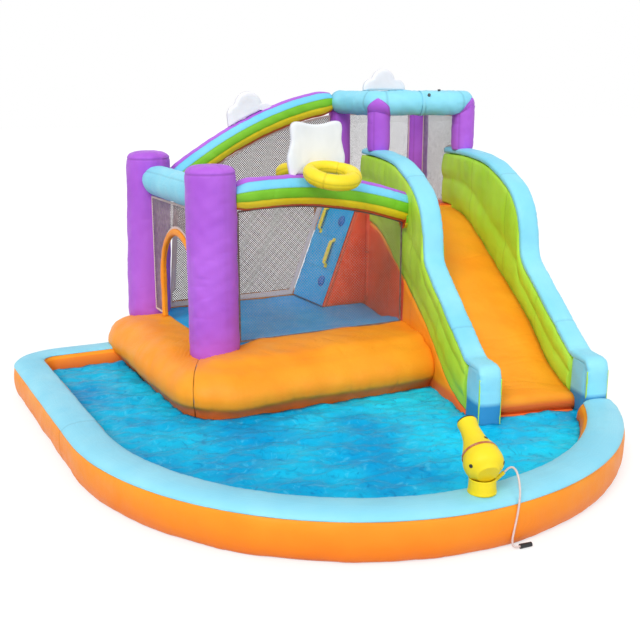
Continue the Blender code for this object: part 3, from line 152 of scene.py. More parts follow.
HOSE_ROUTE = ((-0.1298, -1.8821, 0.3302), (-0.1174, -1.8868, 0.3426), (-0.106, -1.893, 0.352),
              (-0.099, -1.909, 0.355), (-0.099, -1.932, 0.343), (-0.104, -1.957, 0.313),
              (-0.112, -1.977, 0.268), (-0.121, -1.9866, 0.215), (-0.132, -1.9885, 0.150),
              (-0.144, -1.9885, 0.090), (-0.152, -1.9900, 0.048), (-0.147, -1.9925, 0.020),
              (-0.130, -1.9950, 0.0125), (-0.112, -1.9965, 0.0125))
INLET = np.array((0.30, 2.00, 0.20))
INLET_LENGTH = 0.085

# Sizes of the looks alone
LOWEST = 0.0005
SKIN_FOOT = 0.001
BACK_CORNER = 0.66
# The base's side: heights, and how far in from its bulge it stands at each
BASE_SIDE = ((0.0, 0.05, 0.10, 0.145, 0.175, 0.198, 0.215, 0.25, 0.29, 0.33, 0.365, 0.395, 0.412, 0.42),
             (0.13, 0.10, 0.080, 0.058, 0.042, 0.026, 0.010, 0.001, 0.006, 0.026, 0.060, 0.115, 0.20, 0.40))
FLOOR_BEAM = 0.296
BACK_POST_LEAN = 0.036
HOOP_FAT = 0.011
CAP_WIDTH = 0.085
CAP_ANGLES = np.radians((-76, -24, 26))
WALL_SEAMS = (2.05,)
# The pool wall's section, from the bottom round its outer side and back over its inner side
POOL_SECTION = ((0.0, 0.001), (0.055, 0.001), (0.088, 0.012), (0.107, 0.045), (0.1165, 0.09),
                (0.1180, 0.135), (0.1165, 0.172), (0.110, 0.204), (0.096, 0.223), (0.072, 0.236),
                (0.030, 0.2435), (-0.02, 0.2435), (-0.06, 0.2385), (-0.084, 0.228), (-0.102, 0.206),
                (-0.1135, 0.172), (-0.1175, 0.135), (-0.1165, 0.09), (-0.107, 0.045), (-0.088, 0.012),
                (-0.055, 0.001))
# The arches' colour bands: where each starts, in degrees up from the front
FRONT_BANDS = ((-90, 0), (-62, 1), (-24, 2), (16, 3), (56, 4), (124, 3), (164, 2), (204, 1), (242, 0), (270, 0))
BACK_BANDS = ((-90, 0), (-52, 1), (-13, 2), (26, 3), (64, 4), (116, 3), (154, 2), (193, 1), (232, 0), (270, 0))
# Between threads, the thread's width, and the hem's width
CLOSE_NET = (0.0125, 0.0036, 0.016)
BACK_NET = (0.0125, 0.0050, 0.016)
OPEN_NET = (0.014, 0.0006, 0.012)
TOWER_NET = (0.0080, 0.0019, 0.012)
# The backboard's side from its foot to its head as (share of its height, distance past BOARD_HALF),
# and its top from the middle outward as (share of its width, height past BOARD_TOP)
BOARD_SIDE = ((0.0, 0.016), (0.12, 0.020), (0.36, 0.034), (0.55, 0.020), (0.72, 0.006), (0.86, 0.012),
              (1.0, 0.010))
BOARD_TOP_EDGE = ((0.0, -0.022), (0.3, -0.018), (0.62, -0.002), (0.86, 0.0), (1.0, -0.014))

# Camera of the photo
CAMERA_PLACE = (-2.725, -5.09, 2.027)
CAMERA_YAW = math.radians(27.4)
CAMERA_PITCH = math.radians(13.8)
CAMERA_LENS = 54.17

# The world's light on the object, and the lamps as (name, strength, tilt, turn, softness)
AMBIENT = 0.64
LAMPS = (("key", 1.55, 47.0, -52.0, 24.0), ("fill", 0.8, 68.0, -6.0, 30.0))

X, Y, Z = np.eye(3)
DOWN = np.array((-math.sin(SLIDE_TURN), -math.cos(SLIDE_TURN), 0.0))
ACROSS = np.array((math.cos(SLIDE_TURN), -math.sin(SLIDE_TURN), 0.0))
FLOOR_CORNER = np.array((FLOOR_LEFT + GAP / 2, FLOOR_FRONT + GAP / 2, 0.0))
ORIGIN = np.array(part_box("bounce_floor")[0]) - FLOOR_CORNER
PLAYHOUSE = "playhouse"


def linked(name, data):
    """A new object in the scene."""
    obj = bpy.data.objects.new(name, data)
    bpy.context.scene.collection.objects.link(obj)
    return obj


def dress(obj, node, body=PLAYHOUSE):
    """Puts a piece on the body that it rides on, and hides the node that it stands for."""
    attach(obj, body)
    if node:
        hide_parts(node)
    return obj


def add_camera():
    camera = linked("camera", bpy.data.cameras.new("camera"))
    camera.data.lens = CAMERA_LENS
    camera.data.sensor_width = 36.0
    camera.location = Vector(CAMERA_PLACE) + Vector(ORIGIN)
    camera.rotation_euler = (math.pi / 2 - CAMERA_PITCH, 0.0, -CAMERA_YAW)
    bpy.context.scene.camera = camera


# Lines and grids of points


def unit(v):
    return v / np.maximum(np.linalg.norm(v, axis=-1, keepdims=True), 1e-12)


def run_of(line):
    """How far along a line each of its points lies."""
    return np.concatenate([[0.0], np.cumsum(np.linalg.norm(np.diff(line, axis=0), axis=1))])


def resampled(line, count):
    """A line's run, cut into evenly spaced points."""
    run = run_of(line)
    goals = np.linspace(0.0, run[-1], count)
    return np.stack([np.interp(goals, run, line[:, k]) for k in range(line.shape[1])], axis=1)


def spaced(line, step, closed=False):
    """Points about this far apart along a line."""
    line = np.asarray(line, float)
    if closed:
        line = np.vstack([line, line[:1]])
    points = resampled(line, max(2, int(round(run_of(line)[-1] / step)) + 1))
    return points[:-1] if closed else points


def smooth(points, step, closed=False):
    """Evenly spaced points along a smooth curve through the given ones."""
    points = np.asarray(points, float)
    n = len(points)
    found = []
    for i in range(n if closed else n - 1):
        a, b, c, d = points[[(i + k) % n if closed else min(max(i + k, 0), n - 1) for k in (-1, 0, 1, 2)]]
        for x in np.linspace(0.0, 1.0, 12, endpoint=False):
            bend = (2 * a - 5 * b + 4 * c - d) * x**2 + (3 * b - a - 3 * c + d) * x**3
            found.append(0.5 * (2 * b + (c - a) * x + bend))
    if not closed:
        found.append(points[-1])
    return spaced(found, step, closed)


def around(count):
    """Evenly spaced angles of a whole turn."""
    return np.linspace(0.0, 2 * math.pi, count, endpoint=False)


def circle(radius, sides):
    return np.stack([np.cos(around(sides)), np.sin(around(sides))], axis=1) * radius


def arc(x, y, radius, start, stop, count):
    """Points on a circle from one angle to another, in degrees."""
    angles = np.radians(np.linspace(start, stop, count))
    return [(x + radius * math.cos(a), y + radius * math.sin(a)) for a in angles]


def blunt(wave, power):
    """A sine or cosine with fuller shoulders, which squares a circle off."""
    return np.sign(wave) * np.abs(wave) ** power


def places(x, y, z):
    """Points from their coordinates, each a number or an array."""
    return np.stack(np.broadcast_arrays(x, y, z), axis=-1)


def level(line, z):
    """Plan points at a height."""
    return np.column_stack([line, np.broadcast_to(z, len(line))])


def swept(path, section, side=None, up=Z, closed=False):
    """A grid of section points carried along a path. A section point is (to the side, upward)."""
    path = np.asarray(path, float)
    ahead, behind = np.roll(path, -1, axis=0), np.roll(path, 1, axis=0)
    if not closed:
        ahead[-1], behind[0] = path[-1], path[0]
    tangent = unit(ahead - behind)
    sides = unit(np.cross(tangent, up)) if side is None else np.broadcast_to(side, path.shape)
    tops = unit(np.cross(sides, tangent))
    section = np.broadcast_to(section, (len(path),) + np.shape(section)[-2:])
    return path[:, None] + sides[:, None] * section[..., :1] + tops[:, None] * section[..., 1:]


def tube(path, sides, radius):
    """A round tube whose radius changes along its path."""
    return swept(path, circle(1.0, sides)[None] * radius[:, None, None])


def ease(x):
    x = np.clip(x, 0.0, 1.0)
    return x * x * (3 - 2 * x)


def bend_in(edge, reach):
    """A quarter round: 1 at an edge and 0 this far from it."""
    return 1 - np.sqrt(1 - (1 - np.minimum(edge / reach, 1.0)) ** 2)


def waves(points, length, seed, count=5):
    """Smooth noise from about -1 to 1 whose bumps are about this far apart."""
    draw = np.random.default_rng(seed)
    total = 0.0
    for _ in range(count):
        way = unit(draw.normal(size=3)) * 2 * math.pi / (length * draw.uniform(0.7, 1.5))
        total = total + np.sin(np.asarray(points) @ way + draw.uniform(0.0, 6.28))
    return total / math.sqrt(count)


class Skin:
    """A closed grid, rows along the piece and columns round it, with seams and creases pressed in."""

    def __init__(self, points, closed=False):
        self.points = np.array(points, float)
        self.closed = closed
        rows = np.linalg.norm(np.diff(self.points, axis=0), axis=2).mean(axis=1)
        self.s = np.concatenate([[0.0], np.cumsum(rows)])[:, None]
        self.length = float(self.s[-1, 0])
        columns = np.linalg.norm(np.roll(self.points, -1, axis=1) - self.points, axis=2)
        self.round = np.maximum(columns.sum(axis=1)[:, None], 1e-9)
        self.share = (np.cumsum(columns, axis=1) - columns) / self.round
        self.t = self.share * self.round
        self.push = np.zeros(self.points.shape[:2])
        self.mark = np.zeros(self.points.shape[:2])

    def from_row(self, s):
        """How far each point is from the ring at this length along."""
        return np.abs(self.s - s) + 0 * self.t

    def beside(self, share):
        """How far round from the line at this share of the way round each point is."""
        return ((self.share - share + 0.5) % 1.0 - 0.5) * self.round

    def from_share(self, share):
        """How far each point is from the line at this share of the way round."""
        return np.abs(self.beside(share))

    def from_column(self, column):
        """The same, for the line of one column."""
        return self.from_share(self.share[:, column][:, None])

    def lines(self, rows, columns, shares):
        """(distance from it, run along it) of rings at lengths along, and of lines at columns and shares."""
        found = [(self.from_row(s), self.t) for s in rows] + [(self.from_column(k), self.s) for k in columns]
        return found + [(self.from_share(share), self.s) for share in shares]

    def gather(self, distance, along, depth, reach, step, seed):
        """Narrow folds that run away from a seam or a tied end."""
        draw = np.random.default_rng(seed)
        along = along + 0 * distance
        shift = sum(step * 0.3 * np.sin(along / (step * k) + draw.uniform(0, 6.28)) for k in (0.7, 1.6, 3.1))
        fold = 1.0 - np.abs(np.sin(math.pi * (along + shift) / step))
        power = 0.65 + 0.35 * np.sin(along / (step * 1.1) + draw.uniform(0, 6.28))
        self.push -= depth * power * fold**2 * np.exp(-((distance / reach) ** 2))

    def gathers(self, depth, reach, step, seed, rows=(), columns=(), shares=()):
        for k, (distance, along) in enumerate(self.lines(rows, columns, shares)):
            self.gather(distance, along, depth, reach, step, seed + k)

    def seam(self, distance, along, depth, width, pucker=0.0, reach=0.0, step=0.0, seed=1):
        """A sewn line: a groove that darkens, with folds on both sides of it."""
        groove = np.exp(-((distance / width) ** 2))
        self.push -= depth * groove
        self.mark = np.maximum(self.mark, groove)
        if pucker:
            self.gather(distance, along, pucker, reach, step, seed)

    def seams(self, seed, rows=(), columns=(), shares=(), **sizes):
        for k, (distance, along) in enumerate(self.lines(rows, columns, shares)):
            self.seam(distance, along, seed=seed + k, **sizes)

    def creases(self, count, length, width, depth, seed, lean=math.pi / 2, spread=0.4, start=0.0, end=None):
        """Soft folds of the fabric, each a short line at about this angle from the piece's length."""
        draw = np.random.default_rng(seed)
        for _ in range(count):
            s0, share = draw.uniform(start, self.length if end is None else end), draw.uniform(0.0, 1.0)
            angle = lean + draw.uniform(-spread, spread)
            size, thin = length * draw.uniform(0.5, 1.3), width * draw.uniform(0.6, 1.3)
            ds, dt = self.s - s0, self.beside(share)
            u = ds * math.cos(angle) + dt * math.sin(angle)
            v = -ds * math.sin(angle) + dt * math.cos(angle)
            self.push -= depth * draw.uniform(0.4, 1.0) * np.exp(-((u / size) ** 2) - (v / thin) ** 2)

    def roll(self, size, length, seed):
        """Slow unevenness of the tight fabric."""
        self.push += size * waves(self.points, length, seed)

    def hold(self, most, where=True):
        """Keeps the skin from standing out further than this, and leaves it in place elsewhere."""
        self.push = np.minimum(self.push, np.where(where, most, 0.0))

    def final(self):
        p = self.points
        along = np.gradient(p, axis=0)
        if self.closed:
            along = np.roll(p, -1, axis=0) - np.roll(p, 1, axis=0)
        normal = unit(np.cross(along, np.roll(p, -1, axis=1) - np.roll(p, 1, axis=1)))
        if (normal * (p - p.mean(axis=1, keepdims=True))).sum() <= 0:
            normal = -normal
        return p + normal * self.push[..., None]


class Shell:
    """Gathers closed bodies into one piece."""

    def __init__(self):
        self.points, self.faces, self.marks, self.kinds = [], [], [], []

    def add(self, points, faces, mark=0.0, kind=0):
        points = np.array(points, float).reshape(-1, 3)
        points[:, 2] = np.maximum(points[:, 2], LOWEST)
        faces = [list(map(int, face)) for face in faces]
        a = points[[f[0] for f in faces]]
        volume = 0.0
        for k in range(1, max(map(len, faces)) - 1):
            some = [i for i, f in enumerate(faces) if len(f) > k + 1]
            b, c = (points[[faces[i][j] for i in some]] for j in (k, k + 1))
            volume += (a[some] * np.cross(b, c)).sum()
        if volume < 0:
            faces = [f[::-1] for f in faces]
        start = sum(map(len, self.points))
        self.points.append(points + ORIGIN)
        self.faces += [[i + start for i in f] for f in faces]
        self.marks.append(np.broadcast_to(mark, len(points)))
        self.kinds += list(np.broadcast_to(kind, len(faces)))

    def skin(self, skin, kind=0):
        """kind is one material number, one for each column, or one for each place of the grid."""
        n, m = skin.push.shape
        kinds = np.broadcast_to(kind, (n, m))
        rings = n if skin.closed else n - 1
        here = np.arange(rings * m).reshape(rings, m)
        faces = np.stack([here, np.roll(here, -1, axis=1), (np.roll(here, -1, axis=1) + m) % (n * m),
                          (here + m) % (n * m)], axis=2).reshape(-1, 4).tolist()
        numbers = list(kinds[:rings].ravel())
        if not skin.closed:
            faces += [range(m)[::-1], range((n - 1) * m, n * m)]
            numbers += [kinds[0, 0], kinds[-1, 0]]
        self.add(skin.final(), faces, skin.mark.ravel(), numbers)
        return self

    def build(self, name, *materials, node=None, slot=None, body=PLAYHOUSE, fill=None):
        mesh = bpy.data.meshes.new(name)
        mesh.from_pydata(np.vstack(self.points).tolist(), [], self.faces)
        mesh.attributes.new("seam", "FLOAT", "POINT").data.foreach_set("value", np.hstack(self.marks))
        for material in materials:
            mesh.materials.append(material)
        mesh.polygons.foreach_set("material_index", self.kinds)
        mesh.shade_smooth()
        obj = dress(linked(name, mesh), node, body)
        return obj


def cover(node, slot, skin, *materials, kinds=0, body=PLAYHOUSE):
    """The tight inflated cover that stands for a node."""
    Shell().skin(skin, kinds).build(node + "_cover", *materials, node=node, slot=slot, body=body, fill=1.0)


def fit_end(points, rows, at_end, way, target):
    """Slides the last rows of a grid along a direction, so that its end lies on target(point)."""
    order = np.arange(len(points))[::-1 if at_end else 1]
    edge = points[order[0]]
    shift = target(edge) - edge @ way
    for k in range(rows):
        points[order[k]] += (shift * ease(1 - k / rows))[:, None] * way
    return points


def end_taper(run, size, reach):
    """How wide a tied tube is along its run: size at both ends, 1 between them."""
    edge = np.minimum(run, run.max() - run)
    return size + (1 - size) * np.sin(np.clip(edge / reach, 0, 1) * math.pi / 2) ** 0.8


def finish_tube(skin, seed, shares=(), rings=(), folds=0.0025, ends=0.0, roll=0.002, creases=0):
    """Lengthwise seams, ring seams, gathered ends and unevenness of a tube."""
    skin.roll(roll, 0.22, seed)
    skin.roll(roll * 0.5, 0.08, seed + 1)
    skin.seams(seed + 2, shares=shares, depth=0.0025, width=0.004, pucker=folds, reach=0.028, step=0.045)
    skin.seams(seed + 8, rows=rings, depth=0.0035, width=0.005, pucker=folds * 1.5, reach=0.035, step=0.042)
    if ends:
        skin.gathers(ends, 0.05, 0.05, seed + 14, rows=(0.0, skin.length))
    skin.creases(creases, 0.05, 0.009, 0.003, seed + 17)


# Materials


BLACK_TONE = (0.0, 0.0, 0.0, 1.0)
WHITE_TONE = (1.0, 1.0, 1.0, 1.0)


def colour(red, green, blue):
    """A colour as it is seen, from 0 to 255, turned into the shader's linear one."""
    parts = [c / 255 for c in (red, green, blue)]
    return tuple(c / 12.92 if c <= 0.04045 else ((c + 0.055) / 1.055) ** 2.4 for c in parts) + (1.0,)


class Nodes:
    """The nodes of a material or a world, made one after the other."""

    def __init__(self, owner):
        self.owner = owner
        owner.use_nodes = True
        self.tree = owner.node_tree

    def make(self, kind, inputs=None, **settings):
        node = self.tree.nodes.new(kind)
        for key, value in settings.items():
            setattr(node, key, value)
        for key, value in (inputs or {}).items():
            self.put(node.inputs[key], value)
        return node

    def put(self, socket, value):
        if isinstance(value, bpy.types.NodeSocket):
            self.tree.links.new(value, socket)
        else:
            socket.default_value = value

    def maths(self, operation, a, b=0.0):
        return self.make("ShaderNodeMath", {0: a, 1: b}, operation=operation).outputs[0]

    def span(self, value, low, high, to_low, to_high):
        inputs = {"Value": value, "From Min": low, "From Max": high, "To Min": to_low, "To Max": to_high}
        return self.make("ShaderNodeMapRange", inputs).outputs["Result"]

    def mix(self, share, a, b):
        return self.make("ShaderNodeMix", {0: share, 6: a, 7: b}, data_type="RGBA").outputs[2]

    def seen_directly(self):
        """1 for rays from the camera and for those that a gloss or a clear piece sends on."""
        path = self.make("ShaderNodeLightPath").outputs
        first = self.maths("MAXIMUM", path["Is Camera Ray"], path["Is Glossy Ray"])
        return self.maths("MAXIMUM", first, path["Is Transmission Ray"])


class Surface(Nodes):
    """The nodes of a piece's material, round its shader."""

    def __init__(self, name):
        super().__init__(bpy.data.materials.new(name))
        self.shader = self.tree.nodes["Principled BSDF"]
        self.place = self.make("ShaderNodeTexCoord").outputs["Object"]

    def vector(self, operation, *parts):
        return self.make("ShaderNodeVectorMath", dict(enumerate(parts)), operation=operation).outputs

    def part(self, axis):
        return self.make("ShaderNodeSeparateXYZ", {0: self.place}).outputs[axis]

    def noise(self, scale, detail=2.0, place=None, **inputs):
        inputs = {"Vector": place or self.place, "Scale": scale, "Detail": detail} | inputs
        return self.make("ShaderNodeTexNoise", inputs).outputs["Fac"]

    def patches(self, scale, to_low, to_high, detail=2.0):
        """Soft patches of this scale, as a number between two."""
        return self.span(self.noise(scale, detail), 0.3, 0.7, to_low, to_high)

    def bump(self, height, distance, strength=1.0, normal=None):
        inputs = {"Height": height, "Distance": distance, "Strength": strength}
        return self.make("ShaderNodeBump", inputs | ({"Normal": normal} if normal else {})).outputs["Normal"]

    def weave(self, pitch):
        """Crossing threads on any side of a piece, from -1 to 1."""
        turns = self.vector("MULTIPLY", self.place, (2 * math.pi / pitch,) * 3)[0]
        return self.vector("DOT_PRODUCT", self.vector("SINE", turns)[0], (0.5, 0.5, 0.5))["Value"]

    def sewn(self, tone, share):
        """A tone that is darker along the seams."""
        seam = self.make("ShaderNodeAttribute", attribute_name="seam").outputs["Fac"]
        return self.mix(self.maths("MULTIPLY", seam, share), tone, BLACK_TONE)

    def finish(self, tone, roughness, normal, **settings):
        for key, value in {"Base Color": tone, "Roughness": roughness, "Normal": normal}.items():
            self.put(self.shader.inputs[key], value)
        for key, value in settings.items():
            self.shader.inputs[key.replace("_", " ")].default_value = value
        return self.owner


def fabric(name, main, deep, low=None, roughness=0.45, pitch=0.0022):
    """Coated woven fabric: two close tones, darker sewn lines, fine weave and small wrinkles.

    low is (colour, height, soft edge): the colour that the fabric takes towards the ground; on some fabrics this is
    painted shade and reflection near the water."""
    n = Surface(name)
    tone = n.mix(n.span(n.noise(3.2, 3.0), 0.35, 0.65, 0.0, 1.0), colour(*main), colour(*deep))
    if low:
        under, top, edge = low
        tone = n.mix(n.span(n.part(2), top - edge, top + edge, 1.0, 0.0), tone, colour(*under))
    threads = n.weave(pitch)
    tone = n.sewn(n.mix(n.span(threads, -1.0, 1.0, 0.05, 0.0), tone, BLACK_TONE), 0.24)
    wrinkle = n.noise(26.0, 4.0, n.vector("MULTIPLY", n.place, (1.0, 1.0, 0.6))[0])
    normal = n.bump(threads, 0.0004, 0.4, n.bump(wrinkle, 0.006, 0.35))
    return n.finish(tone, n.patches(9.0, roughness - 0.06, roughness + 0.08), normal, Specular_IOR_Level=0.32)


def moulded(name, main, roughness=0.4):
    """Moulded plastic with a fine grain and slightly rubbed tone."""
    n = Surface(name)
    tone = n.sewn(n.mix(n.patches(22.0, 0.0, 0.18, 3.0), colour(*main), BLACK_TONE), 0.5)
    normal = n.bump(n.noise(180.0, 3.0), 0.0004, 0.6)
    return n.finish(tone, n.patches(14.0, roughness - 0.08, roughness + 0.1), normal)


def webbing(name, main, pitch=0.006):
    """Woven strap with ribs and a soft sheen."""
    n = Surface(name)
    ribs = n.weave(pitch)
    tone = n.mix(n.span(ribs, -1.0, 1.0, 0.25, 0.0), colour(*main), BLACK_TONE)
    tone = n.mix(n.span(n.noise(40.0), 0.4, 0.7, 0.0, 0.12), tone, WHITE_TONE)
    return n.finish(tone, n.patches(60.0, 0.6, 0.75), n.bump(ribs, 0.001, 0.8), Sheen_Weight=0.2)


def printed(name, main, dots):
    """The ramp's side: coated fabric with pale woven dots."""
    n = Surface(name)
    dot = n.make("ShaderNodeTexVoronoi", {"Vector": n.place, "Scale": 1 / 0.012, "Randomness": 0.15})
    spots = n.span(dot.outputs["Distance"], 0.12, 0.26, 0.6, 0.0)
    tone = n.mix(n.span(n.noise(4.0), 0.35, 0.65, 0.0, 0.25), colour(*main), (0.2, 0.0, 0.0, 1.0))
    tone = n.sewn(n.mix(spots, tone, colour(*dots)), 0.5)
    normal = n.bump(n.weave(0.004), 0.0006, 0.5, n.bump(n.noise(22.0, 3.0), 0.006, 0.4))
    return n.finish(tone, n.patches(9.0, 0.4, 0.5), normal)


def pool_water(name):
    """Clear pool water over a blue sheet: an even cyan, with painted shade making it darker towards the left, fine
    dark ripples of painted shade and faint pale patches of painted reflection.
    """
    n = Surface(name)
    drift = n.make("ShaderNodeTexNoise", {"Vector": n.place, "Scale": 4.0, "Detail": 2.0}).outputs["Color"]
    bent = n.vector("MULTIPLY_ADD", drift, (0.2, 0.2, 0.2), n.place)[0]
    tone = n.mix(n.span(n.noise(1.7, 5.0), 0.36, 0.62, 0.0, 1.0), colour(0, 158, 214), colour(30, 208, 242))
    # Painted shade: the water is darker towards the left
    tone = n.mix(n.span(n.part(0), -1.55, -0.5, 0.5, 0.0), tone, colour(0, 128, 186))
    ripple = n.noise(22.0, 4.0, bent, Distortion=1.2)
    # Painted shade in the ripples' troughs, and painted reflection in the faint pale patches
    tone = n.mix(n.span(ripple, 0.56, 0.76, 0.0, 0.6), tone, colour(0, 104, 172))
    tone = n.mix(n.span(ripple, 0.42, 0.28, 0.0, 0.30), tone, colour(120, 224, 250))
    return n.finish(tone, 0.28, n.bump(ripple, 0.01, 0.25), IOR=1.33, Specular_IOR_Level=0.08)


def clear_hose(name):
    """A thin-walled clear tube that looks milky, with a slight warm tint."""
    n = Surface(name)
    tone = n.mix(n.patches(60.0, 0.0, 0.5), colour(232, 214, 210), colour(214, 190, 188))
    normal = n.bump(n.noise(90.0), 0.0003, 0.4)
    return n.finish(tone, n.patches(30.0, 0.18, 0.28), normal, Alpha=0.82)


def netting(name, main):
    n = Surface(name)
    tone = n.mix(n.patches(30.0, 0.0, 0.4), colour(*main), BLACK_TONE)
    return n.finish(tone, n.patches(80.0, 0.6, 0.8), n.bump(n.weave(0.002), 0.0003, 0.6))


ORANGE = fabric("orange_fabric", (255, 166, 36), (255, 154, 26), ((250, 116, 14), 0.09, 0.15))
BASE_ORANGE = fabric("base_fabric", (255, 164, 34), (253, 150, 24), ((244, 112, 46), 0.204, 0.014))
# Painted shade and reflection of the water: a darker copy of the orange for the pool wall's inner side, darkest
# towards the waterline
WATERSIDE_SHADE_ORANGE = fabric("wet_fabric", (255, 150, 30), (250, 136, 22), ((222, 92, 30), 0.175, 0.05))
DEEP_ORANGE = fabric("deep_orange_fabric", (240, 108, 34), (228, 92, 28))
PURPLE = fabric("purple_fabric", (186, 102, 226), (172, 88, 214))
LIGHT_BLUE = fabric("light_blue_fabric", (148, 224, 244), (130, 214, 240))
# Painted shade and reflection of the water: the slide's end blocks turn dark blue towards their foot
BLOCK_BLUE_PAINTED_SHADE = fabric("block_blue_fabric", (148, 224, 244), (130, 214, 240), ((50, 142, 196), 0.262, 0.014))
PANEL_BLUE = fabric("panel_blue_fabric", (150, 222, 242), (136, 214, 238))
GREEN = fabric("green_fabric", (194, 238, 74), (178, 226, 56))
ARCH_GREEN = fabric("arch_green_fabric", (132, 202, 46), (114, 188, 30))
ARCH_BLUE = fabric("arch_blue_fabric", (126, 212, 244), (106, 202, 240))
YELLOW = fabric("yellow_fabric", (252, 228, 50), (246, 218, 30))
FLOOR_BLUE = fabric("floor_fabric", (30, 172, 236), (18, 158, 228))
CLIMB_BLUE = fabric("climbing_fabric", (12, 174, 232), (6, 160, 224))
WHITE = fabric("white_fabric", (244, 246, 248), (232, 236, 240))
CLOUD = fabric("cloud_fabric", (244, 244, 250), (238, 238, 246))
RAMP_SIDE = printed("ramp_side_fabric", (255, 82, 8), (255, 186, 130))
SHEET_BLUE = fabric("ground_sheet", (60, 150, 205), (50, 138, 195), roughness=0.5)
HEM = webbing("net_hem", (246, 220, 214), 0.003)
DARK_HEM = webbing("dark_net_hem", (120, 96, 90), 0.003)
NET = netting("net_threads", (190, 172, 174))
BACK_THREAD = netting("back_net_threads", (104, 84, 82))
FINE_NET = netting("fine_net_threads", (178, 178, 184))
THIN_NET = netting("thin_net_threads", (226, 206, 200))
STRAP = webbing("brown_strap", (196, 96, 40))
BLACK_STRAP = webbing("black_strap", (34, 34, 38))
HANDLE = webbing("yellow_webbing", (255, 226, 40), 0.004)
BLACK = moulded("black_plastic", (26, 26, 30))
RIM_BLACK = moulded("dark_rim", (40, 34, 34))
CANNON = fabric("cannon_fabric", (246, 222, 36), (240, 212, 20))
HOLD = moulded("hold_plastic", (24, 112, 190), 0.45)
WATER = pool_water("pool_water_surface")
HOSE = clear_hose("clear_hose")

# Small hard nodes keep their shape and get their own finish
SMALL_NODES = {BLACK: ("cannon_eye_left", "cannon_eye_right", "cannon_nostril", "hose_connector"),
               BLACK_STRAP: ("sprinkler_tab_1", "sprinkler_tab_2", "inlet_strap"),
               WHITE: ("floor_baffle_1", "floor_baffle_2", "floor_baffle_3", "floor_baffle_4"),
               RIM_BLACK: ("cannon_muzzle_ring",), CANNON: ("cannon_fitting",),
               PANEL_BLUE: ("sprinkler_strap",)}


# Hose


def add_hose():
    points = resampled(smooth(HOSE_ROUTE, 0.002), HOSE_POINTS) + ORIGIN
    curve = bpy.data.curves.new("water_hose", "CURVE")
    curve.dimensions = "3D"
    curve.bevel_depth = HOSE_RADIUS
    curve.bevel_resolution = 5
    curve.use_fill_caps = True
    spline = curve.splines.new("POLY")
    spline.points.add(len(points) - 1)
    for target, p in zip(spline.points, points):
        target.co = (*p, 1.0)
    curve.materials.append(HOSE)
    hose = dress(linked("water_hose", curve), "hose")


# Pool


def pool_line():
    """Middle line of the pool wall, from the house's left side round to the slide."""
    half = POOL_WALL_WIDTH / 2
    corner_x, corner_y = POOL_LEFT + POOL_CORNER, POOL_BACK - POOL_CORNER
    line = [(BASE_LEFT + 0.02, POOL_BACK - half), (corner_x, POOL_BACK - half)]
    line += arc(corner_x, corner_y, POOL_CORNER - half, 97, 180, 12)
    line += [(POOL_LEFT + half, y) for y in np.linspace(corner_y - 0.1, POOL_OVAL[1] + 0.05, 8)]
    for degrees in np.linspace(180, 352, 90):
        angle = math.radians(degrees)
        wide = POOL_OVAL[0] - POOL_LEFT if degrees < 270 else POOL_OVAL_RIGHT
        edge = np.array((wide * math.cos(angle), POOL_OVAL_FRONT * math.sin(angle)))
        out = unit(np.array((math.cos(angle) / wide, math.sin(angle) / POOL_OVAL_FRONT)))
        line.append(tuple(np.array(POOL_OVAL) + edge - out * half))
    line = level(spaced(line, 0.008), 0.0)
    for _ in range(12):
        line[1:-1] = (line[:-2] + line[1:-1] * 2 + line[2:]) / 4
    down, across = (line - SLIDE_HEAD) @ DOWN, (line - SLIDE_HEAD) @ ACROSS
    past = (down < BLOCK_END - 0.01) & (across > -0.3) & (line[:, 1] < 0.5)
    return line[:np.argmax(past) + 1]


def base_side(z):
    """How far the bolsters' side stands in from its bulge at a height."""
    return np.interp(z, *BASE_SIDE)


def base_left_x(y, z):
    """The base's left side near its rounded back corner."""
    radius = BACK_CORNER - base_side(z)
    over = np.clip(y - (BASE_BACK - BACK_CORNER), 0, radius * 0.999)
    return BASE_LEFT + BACK_CORNER - np.sqrt(radius**2 - over**2)


def pool_ends(points):
    fit_end(points, 14, False, X, lambda p: base_left_x(p[:, 1], p[:, 2]) - 0.002)
    end = SLIDE_HEAD @ DOWN + BLOCK_END + 0.002
    return fit_end(points, 8, True, -DOWN, lambda p: np.full(len(p), -end))


